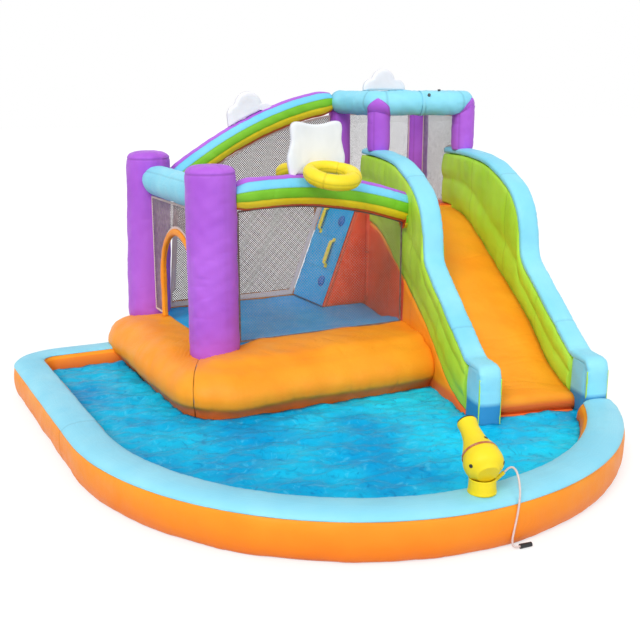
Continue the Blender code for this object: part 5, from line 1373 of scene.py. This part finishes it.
def add_tower_posts(path, corners):
    tangent = unit(np.roll(path, -1, axis=0) - np.roll(path, 1, axis=0))
    step = np.linalg.norm(path[1] - path[0])
    names = ("post_back_right", "tower_post_front_left", "tower_post_front_right", "tower_post_back_right")
    for k, (name, corner, index) in enumerate(zip(names, ring_corners(), corners)):
        front = k in (1, 2)
        foot = RIM_PROFILE[0][1] + 0.003 if front else TOWER_TOP + 0.003
        line = [(foot, 0.93), (foot + 0.025, 0.985), (foot + 0.06, 1.0), (RING_Z - 0.06, 1.0),
                (RING_Z - 0.035, 1.02), (RING_Z - 0.02, 1.045)]
        profile = spaced(line, 0.009)
        ring = circle(TOWER_POST_RADIUS * 1.04, 52)
        skin = Skin([level(ring * r + corner[:2], z) for z, r in profile])
        finish_tube(skin, shares=(0.1, 0.6), seed=350 + 12 * k, roll=0.0015, creases=6)
        skin.gather(skin.from_row(0.0), skin.t, 0.004, 0.045, 0.045, 352 + k)
        shell = Shell().skin(skin)
        # The post's cap is sewn over the ring's outer side and ends in a point
        low, bend, high = CAP_ANGLES
        rows = []
        for angle in np.linspace(low, high, 44):
            share = max(0.0, (angle - bend) / (high - bend))
            wide = CAP_WIDTH * max(1 - share**1.75, 0.012)
            u = np.linspace(-1, 1, 24)
            rise = 0.0015 + 0.008 * np.sqrt(np.clip(1 - u**2, 0, 1)) * min(1.0, 9 * (1 - share) + 0.1)
            round_corner = RING_CORNER + RING_RADIUS * math.cos(angle)
            turned = RING_CORNER * np.arcsin(np.clip(u * wide / round_corner, -1, 1))
            spots = []
            for a, h in zip([*turned, *turned[::-1]], [*rise, *np.full(24, -0.003)]):
                place = index + (a + (0.017 if k == 1 else 0.0)) / step
                base = int(math.floor(place))
                between = place - base
                i, j = base % len(path), (base + 1) % len(path)
                centre = path[i] * (1 - between) + path[j] * between
                out = np.cross(unit(tangent[i] * (1 - between) + tangent[j] * between), Z)
                spots.append(centre + (out * math.cos(angle) + Z * math.sin(angle)) * (RING_RADIUS + h))
            rows.append(spots)
        cap = Skin(rows)
        cap.mark[:, :2] = cap.mark[:, 22:26] = 1.0
        shell.skin(cap)
        shell.build(name + "_cover", PURPLE, node=name, slot="purple", fill=1.0)


# Climbing ramp


RAMP_FOOT = np.array((RAMP_FOOT_X, 0.0, FLOOR_TOP + GAP))
RAMP_UP = unit(np.array((RAMP_TOP_X, 0.0, TOWER_TOP)) - RAMP_FOOT)
RAMP_OUT = np.array((-RAMP_UP[2], 0.0, RAMP_UP[0]))


def ramp_place(along, y, rise):
    along, y, rise = np.broadcast_arrays(along, y, rise)
    return RAMP_FOOT + RAMP_UP * along[..., None] + Y * y[..., None] + RAMP_OUT * rise[..., None]


def add_ramp():
    length = (TOWER_TOP - FLOOR_TOP) / RAMP_UP[2]
    rows = []
    y = np.linspace(RAMP_FRONT + 0.002, RAMP_BACK - 0.002, 30)
    for along in np.concatenate([[0.012, 0.018, 0.03], np.linspace(0.045, length - 0.02, 60),
                                 [length - 0.010, length - 0.002]]):
        edge = min(along, length - along)
        tuck = 0.012 * bend_in(edge, 0.03)
        front = ramp_place(along, y, -0.002 - tuck - 0.012 * (np.abs(y - y.mean()) / 0.26) ** 6)
        place = front[0]
        far = tower_left(y) - 0.003
        depth = np.linspace(place[0] + 0.014, far[0], 22)
        near = places(depth, y[0], place[2])
        bow = 0.007 * np.sin(math.pi * np.linspace(0, 1, 22)) ** 0.6
        near[:, 1] -= bow * (place[2] > FLOOR_TOP + 0.02)
        back = places(far, y, place[2])
        rest = places(depth, y[-1], place[2])[::-1]
        rest[:, 0] = np.linspace(far[-1], place[0] + 0.014, 22)
        rows.append(np.vstack([front[::-1], near, back[1:-1], rest]))
    skin = Skin(rows)
    side = np.arange(skin.points.shape[1])
    near_side = (side >= 27) & (side < 53)
    skin.seam(skin.from_column(30), skin.s, 0.003, 0.005)
    for column in (31, 50):
        skin.gather(skin.from_column(column), skin.s, 0.005, 0.04, 0.055, 411 + column)
    skin.hold(0.0)
    cover("climb_wedge", "orange", skin, BASE_ORANGE, RAMP_SIDE, kinds=near_side.astype(int))

    a = np.linspace(PANEL_LOW, PANEL_HIGH, 80)
    y = np.linspace(PANEL_FRONT, PANEL_BACK, 50)
    rows = []
    for along in a:
        edge = np.minimum(y - y[0], y[-1] - y) / 0.02
        crown = 0.004 * np.sqrt(np.clip(np.minimum(edge, 1), 0, 1))
        top = ramp_place(along, y, 0.004 + crown)
        under = ramp_place(along, y[::-1][::7], 0.001)
        rows.append(np.vstack([top, under]))
    skin = Skin(rows)
    upper = np.arange(skin.points.shape[1]) < 50
    skin.roll(0.0012, 0.10, 420)
    skin.seams(421, columns=(2, 47), depth=0.002, width=0.004, pucker=0.003, reach=0.03, step=0.045)
    skin.seams(424, rows=(0.27, 0.52), depth=0.002, width=0.004, pucker=0.003, reach=0.03, step=0.05)
    skin.push *= upper
    panel = Shell().skin(skin).build("climb_panel_sheet", CLIMB_BLUE, node="climb_panel", slot="floor_blue")

    surface = PANEL_THICKNESS + 2 * GAP
    for name, (low, high, y0) in HANDLES.items():
        bend = HANDLE_RISE - HANDLE_THICKNESS / 2
        line = ((low - 0.02, 0.004), (low, 0.006), (low + 0.006, bend * 0.55), (low + bend * 0.5, bend * 0.95),
                (low + bend, bend), (high - bend, bend), (high - bend * 0.5, bend * 0.95),
                (high - 0.006, bend * 0.55), (high, 0.006), (high + 0.02, 0.004))
        line = smooth(line, 0.004)
        angle = around(24)
        section = np.column_stack([HANDLE_WIDTH / 2 * blunt(np.cos(angle), 0.5), 0.008 * np.sin(angle)])
        body = Skin(swept(ramp_place(line[:, 0], y0, line[:, 1] + surface), section, side=Y))
        lift = np.abs(line[:, 0] - (low + high) / 2) < (high - low) / 2 - bend
        body.push += (0.0025 * lift)[:, None]
        for column in (2, 10):
            body.seam(body.from_column(column), body.s, 0.0008, 0.002)
        Shell().skin(body).build(name + "_loop", HANDLE, node=name, slot="yellow")
    for name, (along, y0) in HOLDS.items():
        rows = []
        lines = [(1.0, 0.001), (1.0, 0.006), (0.95, 0.010), (0.86, 0.013), (0.74, 0.014), (0.66, 0.0165),
                 (0.58, 0.021), (0.42, 0.0235), (0.2, 0.0243), (0.02, 0.0245)]
        for r, h in spaced(lines, 0.05):
            u, v = circle(r * HOLD_RADIUS, 40).T
            rows.append(ramp_place(along + u, y0 + v, surface + h))
        Shell().skin(Skin(rows)).build(name + "_grip", HOLD, node=name, slot="floor_blue")


# Nets and the doorway


def strands(outline, lean, pitch):
    """Ends of the parallel threads that cross an outline, as pairs of (across, z) points."""
    edges = list(zip(outline, np.roll(outline, -1, axis=0)))
    way = np.array((math.cos(lean), math.sin(lean)))
    side = np.array((-way[1], way[0]))
    reach = [a @ side for a, b in edges]
    found = []
    for offset in np.arange(min(reach) + pitch / 2, max(reach), pitch):
        cuts = []
        for a, b in edges:
            da, db = a @ side - offset, b @ side - offset
            if (da > 0) != (db > 0):
                cuts.append(float((a + (b - a) * da / (da - db)) @ way))
        cuts.sort()
        for low, high in zip(cuts[::2], cuts[1::2]):
            if high - low > pitch:
                found.append((way * low + side * offset, way * high + side * offset))
    return found


def bar(a, b, wide, thick, out):
    """A flat bar between two points."""
    along = unit(b - a)
    across = unit(np.cross(out, along))
    section = [(-1, -1), (1, -1), (1, 1), (-1, 1)]
    points = [p + across * u * wide / 2 + out * v * thick / 2 for p in (a, b) for u, v in section]
    faces = [(0, 1, 5, 4), (1, 2, 6, 5), (2, 3, 7, 6), (3, 0, 4, 7), (3, 2, 1, 0), (4, 5, 6, 7)]
    return points, faces


def inset_line(outline, distance):
    """A closed (across, z) outline, anticlockwise, moved inward."""
    line = np.array(outline)
    before, after = unit(line - np.roll(line, 1, axis=0)), unit(np.roll(line, -1, axis=0) - line)
    tangent = unit(before + after)
    widen = 1 / np.maximum((tangent * after).sum(axis=1), 0.35)
    inward = np.column_stack([-tangent[:, 1], tangent[:, 0]])
    return line + inward * (distance * widen)[:, None]


def add_net(name, node, origin, right, outline, kind=CLOSE_NET, materials=(HEM, NET), wide_hem=None):
    """A sewn net panel: a hem with two stitched lines round crossing threads.

    wide_hem tells from an (across, z) point whether the hem is NET_HEM wide there."""
    out = np.cross(right, Z)
    pitch, wide, hem_width = kind

    def spot(p, rise=0.0):
        return origin + right * p[0] + Z * p[1] + out * rise
    outline = spaced(outline, 0.02, closed=True)
    shell = Shell()
    if wide_hem:
        hem_width = np.array([NET_HEM if wide_hem(p) else hem_width for p in outline])
    inner = inset_line(outline, hem_width)
    for lean, rise in ((math.pi / 4, 0.0007), (-math.pi / 4, -0.0007)):
        for a, b in strands(inset_line(outline, hem_width * 0.8), lean, pitch):
            shell.add(*bar(spot(a, rise), spot(b, rise), wide, 0.0012, out), kind=1)
    rows = []
    for p, q in zip(outline, inner):
        share = np.array((0.0, 0.06, 0.12, 0.5, 0.86, 0.93, 1.0))
        rise = np.array((0.0012, 0.0022, 0.0018, 0.0026, 0.0018, 0.0024, 0.0010))
        line = [p + (q - p) * k for k in share]
        rows.append([spot(a, h) for a, h in zip(line, rise)] +
                    [spot(a, -h) for a, h in zip(line[::-1], rise[::-1])])
    shell.skin(Skin(rows, closed=True))
    shell.build(name, *materials, node=node, slot="net")


def arch_under(arch, xs, gap):
    """(x, z) points just under an arch's tube."""
    slope = -2 * arch["curve"] * (xs - arch["top"][0])
    normal = unit(level(-slope[:, None], 1.0))
    return level(xs[:, None], arch_height(arch, xs)) - normal * (arch["radius"] + gap)


def door_line(grow):
    """The doorway's edge from its left foot over the arch to its right foot, as (y, z) points."""
    half = (DOOR_RIGHT - DOOR_LEFT) / 2 + grow
    middle = (DOOR_RIGHT + DOOR_LEFT) / 2
    foot, spring = BOLSTER_TOP + 0.004, DOOR_TOP - half + grow
    top = arc(middle, spring, half, 0, 180, 25)[1:-1]
    return np.array([(middle + half, foot), (middle + half, spring)] + top +
                    [(middle - half, spring), (middle - half, foot)])


def add_nets():
    base = BOLSTER_TOP + 0.012
    low, high = FRONT_LINE_Y + POST_RADIUS + 0.002, BACK_LINE_Y - POST_RADIUS - 0.002
    top = BEAM_Z - BEAM_RADIUS - 0.004
    door = door_line(TRIM_WIDTH)
    # The threads stop inside the trim, and the hem ends at its two sides
    ring = [(low, base), (door[-1][0], base), *door[::-1][1:-1], (door[0][0], base), (high, base), (high, top),
            (low, top)]
    add_net("entry_net_panel", "entry_mesh", X * POST_LINE_X, Y, ring)

    left = POST_LINE_X + POST_RADIUS + 0.002
    right = slide_left_x(FRONT_LINE_Y, 0.016) - 0.002
    xs = np.linspace(left, right, 60)
    under = arch_under(FRONT_ARCH, xs, -0.003)
    under = under[under[:, 0] < right]
    outline = [(under[0][0], base), (right, base), (right, under[-1][1])] + list(under[::-1])
    add_net("front_net_panel", "front_net", Y * FRONT_LINE_Y, X, outline, OPEN_NET, (DARK_HEM, THIN_NET))

    far = BACK_POST_LEFT_X - TOWER_POST_RADIUS - 0.002
    lean = float(post_lean(BACK_LINE_Y, POST_SHOULDER_Z))
    under = arch_under(BACK_ARCH, np.linspace(left, far + 0.08, 70), 0.003)
    under = under[(under[:, 0] < far) & (under[:, 0] > left + lean)]
    foot = FLOOR_TOP + 0.012
    ramp_foot = ramp_place(0.0, 0.0, 0.0)[0]
    ramp_head = ramp_place((TOWER_TOP + 0.004 - FLOOR_TOP) / RAMP_UP[2], 0.0, 0.0)[0]
    outline = [(left, foot), (ramp_foot - 0.004, foot), (ramp_head - 0.004, TOWER_TOP + 0.004),
               (far, TOWER_TOP + 0.004), (far, under[-1][1])] + list(under[::-1])
    add_net("back_net_panel", "back_net", Y * BACK_LINE_Y, X, outline, BACK_NET, (HEM, BACK_THREAD),
            wide_hem=lambda p: p[0] > left + 0.01 and p[1] < TOWER_TOP - 0.01)

    corners = ring_corners()
    reach, base = TOWER_POST_RADIUS + 0.002, TOWER_TOP + 0.004
    high = RING_Z - RING_RADIUS - 0.001
    span = np.linalg.norm(corners[3] - corners[0])
    outline = [(reach, base), (span - reach, base), (span - reach, high), (reach, high)]
    add_net("tower_back_net_panel", "tower_back_net", corners[0], X, outline, TOWER_NET, (HEM, FINE_NET))
    run = corners[3] - corners[2]
    span = np.linalg.norm(run)
    wall = -WALL_BACK + 0.02
    head = RIM_PROFILE[0][1] + 0.012
    outline = [(wall, base), (span - reach, base), (span - reach, high), (reach, high), (reach, head),
               (wall, head)]
    add_net("tower_right_net_panel", "tower_right_net", corners[2], unit(run), outline, TOWER_NET,
            (HEM, FINE_NET))


def add_door_trim():
    y, z = spaced(door_line(TRIM_WIDTH / 2)[::-1], 0.008).T
    path = places(POST_LINE_X, y, z)
    angle = around(28)
    section = np.column_stack([TRIM_WIDTH / 2 * blunt(np.cos(angle), 0.8),
                               TRIM_DEPTH / 2 * blunt(np.sin(angle), 0.8)])
    skin = Skin(swept(path, section[:, ::-1], side=X))
    finish_tube(skin, shares=(0.0, 0.5), seed=440, folds=0.002, roll=0.0012)
    cover("entry_door_trim", "orange", skin, ORANGE)


# Backboard, hoops and clouds


def add_cushion(name, outline, y, thick, material, node, slot, bulge=0.5, seed=450, soften=None):
    """A flat padded panel on an upright plane: its outline drawn in towards a crowned middle on both sides.

    soften is a height above which the outline's corners are rounded off."""
    ring = spaced(outline, 0.006, closed=True)
    for _ in range(14 if soften else 0):
        even = (np.roll(ring, 1, axis=0) + ring * 2 + np.roll(ring, -1, axis=0)) / 4
        ring = np.where(ring[:, 1:] > soften, even, ring)
    middle = ring.mean(axis=0)
    steps = np.array((0.0, 0.02, 0.05, 0.10, 0.17, 0.27, 0.40, 0.55, 0.70, 0.84, 0.94, 0.985))
    rows = []
    for side, order in ((-1, steps[::-1]), (1, steps)):
        for k in order:
            rise = thick / 2 * (0.3 + 0.7 * math.sqrt(1 - (1 - min(k / bulge, 1.0)) ** 2))
            p = ring + (middle - ring) * k
            rows.append(places(p[:, 0], y + side * rise, p[:, 1]))
    skin = Skin(rows)
    edge = np.concatenate([steps[::-1], steps])[:, None]
    sign = np.where(np.arange(len(edge)) < 12, -1.0, 1.0)[:, None]
    folds = np.abs(np.sin(skin.t[12:13] * math.pi / 0.05 + np.sin(skin.t[12:13] * 21)))
    power = 0.0016 * np.exp(-((edge / 0.12) ** 2)) * (edge > 0.001)
    skin.points[..., 1] -= sign * power * (1 - folds) ** 2
    skin.points[..., 1] += 0.0012 * waves(skin.points, 0.16, seed) * np.exp(-((edge / 0.9) ** 8))
    skin.mark[11:13] = 0.7
    return Shell().skin(skin).build(name, material, node=node, slot=slot, fill=0.8)


def add_boards():
    xs = np.linspace(BOARD_X + BOARD_HALF + BOARD_SIDE[0][1], BOARD_X - BOARD_HALF - BOARD_SIDE[0][1], 24)
    bottom = arch_over(FRONT_ARCH, xs[::-1], 0.001)
    low = min(bottom[0][1], bottom[-1][1])
    steps = np.linspace(0, 1, 40)
    side = np.interp(steps, *smooth(BOARD_SIDE, 0.02).T) + BOARD_HALF
    across = np.linspace(-1, 1, 41)[1:-1]
    top = BOARD_TOP + np.interp(np.abs(across), *np.array(BOARD_TOP_EDGE).T)
    height = low + (BOARD_TOP + BOARD_TOP_EDGE[-1][1] - low) * steps
    line = [tuple(p) for p in bottom] + list(zip(BOARD_X + side, height))
    line += list(zip(BOARD_X - across * side[-1], top))
    line += list(zip(BOARD_X - side[::-1], height[::-1]))
    add_cushion("backboard_pad", line, FRONT_LINE_Y, BOARD_THICKNESS - 0.001, WHITE, "backboard", "white",
                0.12, 450, 1.62)


def arch_over(arch, xs, gap):
    """(x, z) points just over an arch's tube."""
    return arch_under(arch, xs, -2 * arch["radius"] - gap)


def add_clouds():
    ring, _ = ring_line()
    rear_y = ring[:, 1].max()
    for seed, (name, balls) in enumerate(CLOUDS.items()):
        left = min(x - r for x, z, r in balls)
        right = max(x + r for x, z, r in balls)
        top = []
        for k in range(61):
            x = left + (right - left) * (1 - math.cos(math.pi * k / 60)) / 2
            top.append((x, max(z + math.sqrt(max(r * r - (x - bx) ** 2, 0.0)) for bx, z, r in balls
                               if abs(x - bx) <= r + 1e-9)))
        xs = np.linspace(left, right, 30)
        if name == "cloud_left":
            bottom, y = arch_over(BACK_ARCH, xs, 0.002), BACK_LINE_Y
            bottom = bottom[(bottom[:, 0] > left) & (bottom[:, 0] < right)]
        else:
            bottom, y = level(xs[:, None], RING_Z + RING_RADIUS + 0.001), rear_y
        add_cushion(name + "_pad", list(bottom) + top[::-1], y, CLOUD_THICKNESS - 0.001, CLOUD, name,
                    "cloud", 0.3, 460 + seed)


def add_hoops():
    away = BOARD_THICKNESS / 2 + HOOP_TUBE_RADIUS + GAP
    for name, sign in (("outer_hoop", -1.0), ("inner_hoop", 1.0)):
        hinge = np.array((HOOP_X, FRONT_LINE_Y + sign * away, HOOP_HINGE_Z))
        reach = np.array((0.0, sign * math.cos(HOOP_DROOP), -math.sin(HOOP_DROOP)))
        centre = hinge + reach * HOOP_RING_RADIUS
        angle = around(120)
        spoke = np.sin(angle)[:, None] * X - np.cos(angle)[:, None] * reach
        # The tube is fatter away from the board, where it has room to flex
        fat = HOOP_FAT * ease(((1 - np.cos(angle)) / 2 - 0.10) / 0.45)
        path = centre + spoke * HOOP_RING_RADIUS
        up = np.cross(X, reach)
        tube = swept(path, circle(1.0, 36), up=up, closed=True) - path[:, None]
        size = HOOP_TUBE_RADIUS - 0.001 + fat
        tube = path[:, None] - (spoke * fat[:, None])[:, None] + tube * size[:, None, None]
        skin = Skin(tube, closed=True)
        length = skin.length
        for k in range(4):
            s = (k + 0.5) / 4 * length
            skin.seam(skin.from_row(s), skin.t, depth=0.003, width=0.004, pucker=0.003, reach=0.025,
                      step=0.028, seed=470 + k)
        skin.seams(475, shares=(0.0, 0.5), depth=0.002, width=0.003, pucker=0.003, reach=0.022, step=0.032)
        skin.hold(0.0005)
        cover(name, "yellow", skin, YELLOW, body=name)


# Water cannon and the air inlet


def lathe(start, direction, profile, sides):
    """A grid turned about an axis from (along, radius) points."""
    along = unit(np.array(direction))
    side = unit(np.cross(along, Z if abs(along[2]) < 0.9 else X))
    top = np.cross(side, along)
    ring = circle(1.0, sides)
    spokes = ring[:, :1] * side + ring[:, 1:] * top
    return np.array([start + along * a + spokes * r for a, r in profile])


def add_cannon():
    along = unit(CANNON_DIRECTION)
    start = CANNON_PIVOT - along * CANNON_BULGE_AT
    length = CANNON_PROFILE[-1][0]
    profile = smooth([(0.0, 0.012), (0.0, 0.045), *CANNON_PROFILE], 0.005)
    profile = np.vstack([[(0.0005, 0.001)], profile, [(length + 0.001, 0.0455), (length + 0.0015, 0.042)],
                         [(length + 0.001, CANNON_BORE + 0.002), (length - 0.004, CANNON_BORE)],
                         [(length - CANNON_BORE_DEPTH, CANNON_BORE), (length - CANNON_BORE_DEPTH, 0.001)]])
    skin = Skin(lathe(start, along, profile, 64))
    body = np.arange(len(profile)) < len(profile) - 6
    skin.roll(0.001, 0.07, 480)
    skin.gathers(0.0012, 0.018, 0.03, 481, shares=(0.0, 0.25, 0.5, 0.75))
    neck_s = float(np.interp(0.165, profile[:40, 0], skin.s[:40, 0]))
    skin.gather(skin.from_row(neck_s), skin.t, 0.003, 0.02, 0.024, 486)
    skin.push = np.minimum(skin.push, 0.0002) * body[:, None]
    cover("cannon_head", "cannon", skin, CANNON, body="cannon_head")

    rest = 0.2475
    socket, mouth = 0.0915 + 0.0016, 0.060
    height = CANNON_PIVOT[2] - math.sqrt(socket**2 - mouth**2) - rest
    flank = smooth([(0.001, 0.0655), (0.008, 0.0665), (0.02, 0.0635), (height - 0.012, 0.0615),
                    (height - 0.003, 0.0625), (height, 0.0605)], 0.004)
    cup = [(CANNON_PIVOT[2] - math.sqrt(socket**2 - r**2) - rest, r)
           for r in np.linspace(mouth - 0.004, 0.001, 9)]
    neck = np.vstack([[(0.0008, 0.001)], flank, cup])
    skin = Skin(lathe(np.array((*CANNON_PIVOT[:2], rest)), Z, neck, 56))
    skin.gather(skin.from_row(float(skin.s[2, 0])), skin.t, 0.002, 0.02, 0.03, 490)
    skin.hold(0.0)
    skin.push[len(flank):] = 0.0
    cover("cannon_neck", "cannon", skin, CANNON)

    ends = np.linspace(BRIDLE_AT - BRIDLE_WIDTH / 2, BRIDLE_AT + BRIDLE_WIDTH / 2, 9)
    radius = np.interp(ends, *np.array(CANNON_PROFILE).T)
    edge = np.array((0.4, 1.0, 1.0, 1.0, 0.75, 1.0, 1.0, 1.0, 0.4))
    section = np.vstack([np.column_stack([ends, radius + 0.0012 + 0.0018 * edge]),
                         np.column_stack([ends[::-1], radius[::-1] + 0.0008])])
    grid = lathe(start, along, section, 72)
    strap = Skin(np.swapaxes(grid, 0, 1), closed=True)
    Shell().skin(strap).build("cannon_strap_band", STRAP, node="cannon_strap", slot="strap",
                              body="cannon_head")


def add_inlet():
    outer = smooth([(0.0, 0.094), (0.02, 0.095), (0.035, 0.092), (0.052, 0.0705), (0.068, 0.0705),
                    (INLET_LENGTH, 0.080)], 0.004)
    inner = np.column_stack([outer[::-1, 0], outer[::-1, 1] - 0.004])
    profile = np.vstack([outer, inner])
    rows = np.swapaxes(lathe(INLET, Y, profile, 72), 0, 1).copy()
    reach = np.arange(len(profile))
    seat = base_side(rows[..., 2])
    near = np.where(reach < len(outer), reach, len(profile) - 1 - reach)
    rows[..., 1] += np.where(near < 5, (-seat + 0.002) * (1 - near / 5), 0.0)
    sleeve = Skin(rows, closed=True)
    fold = np.abs(np.sin(np.arange(72) * math.pi / 6 + np.sin(np.arange(72) * 0.6)))
    waist = np.exp(-(((profile[:, 0] - 0.06) / 0.03) ** 2))
    sleeve.push = -0.004 * fold[:, None] * waist[None] * np.where(reach < len(outer), 1.0, -1.0)
    Shell().skin(sleeve).build("air_inlet_cloth", BASE_ORANGE, node="air_inlet_sleeve", slot="orange")


def finish_small_nodes():
    for material, names in SMALL_NODES.items():
        for name in names:
            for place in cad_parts[name].material_slots:
                place.material = material


# Floor, lights and world


def add_stage():
    """A floor that gives off grey light and is seen nearly white, the world and two lamps."""
    material = bpy.data.materials.new("stage_floor")
    n = Nodes(material)
    n.tree.nodes.clear()
    plain = n.make("ShaderNodeBsdfDiffuse", {"Color": (0.55, 0.55, 0.56, 1.0)}).outputs[0]
    pale = n.make("ShaderNodeBsdfDiffuse", {"Color": (0.45, 0.45, 0.45, 1.0)}).outputs[0]
    glow = n.make("ShaderNodeEmission", {"Strength": 0.62}).outputs[0]
    both = n.make("ShaderNodeAddShader", {0: pale, 1: glow}).outputs[0]
    choice = n.make("ShaderNodeMixShader", {0: n.seen_directly(), 1: plain, 2: both}).outputs[0]
    n.make("ShaderNodeOutputMaterial", {"Surface": choice})
    mesh = bpy.data.meshes.new("floor")
    wide, low = 40.0, -0.001
    mesh.from_pydata([(-wide, -wide, low), (wide, -wide, low), (wide, wide, low), (-wide, wide, low)], [],
                     [(0, 1, 2, 3)])
    mesh.materials.append(material)
    linked("floor", mesh)

    world = bpy.data.worlds.new("world")
    bpy.context.scene.world = world
    n = Nodes(world)
    back = n.tree.nodes["Background"]
    n.put(back.inputs["Strength"], n.span(n.seen_directly(), 0.0, 1.0, AMBIENT, 1.0))
    n.put(back.inputs["Color"], WHITE_TONE)
    for name, energy, tilt, turn, soft in LAMPS:
        lamp = bpy.data.lights.new(name, "SUN")
        lamp.energy = energy
        lamp.angle = math.radians(soft)
        linked(name, lamp).rotation_euler = (math.radians(tilt), 0.0, math.radians(turn))
    bpy.context.scene.view_settings.view_transform = "Standard"


add_camera()
add_hose()
pool_path = add_pool()
add_water(pool_path)
add_bolsters()
add_floor()
add_house_posts()
add_beam()
add_arches()
add_slide_walls()
add_bed()
add_wedge()
add_tower_base()
ring_path, ring_marks = add_ring()
add_tower_posts(ring_path, ring_marks)
add_ramp()
add_nets()
add_door_trim()
add_boards()
add_clouds()
add_hoops()
add_cannon()
add_inlet()
finish_small_nodes()
add_stage()
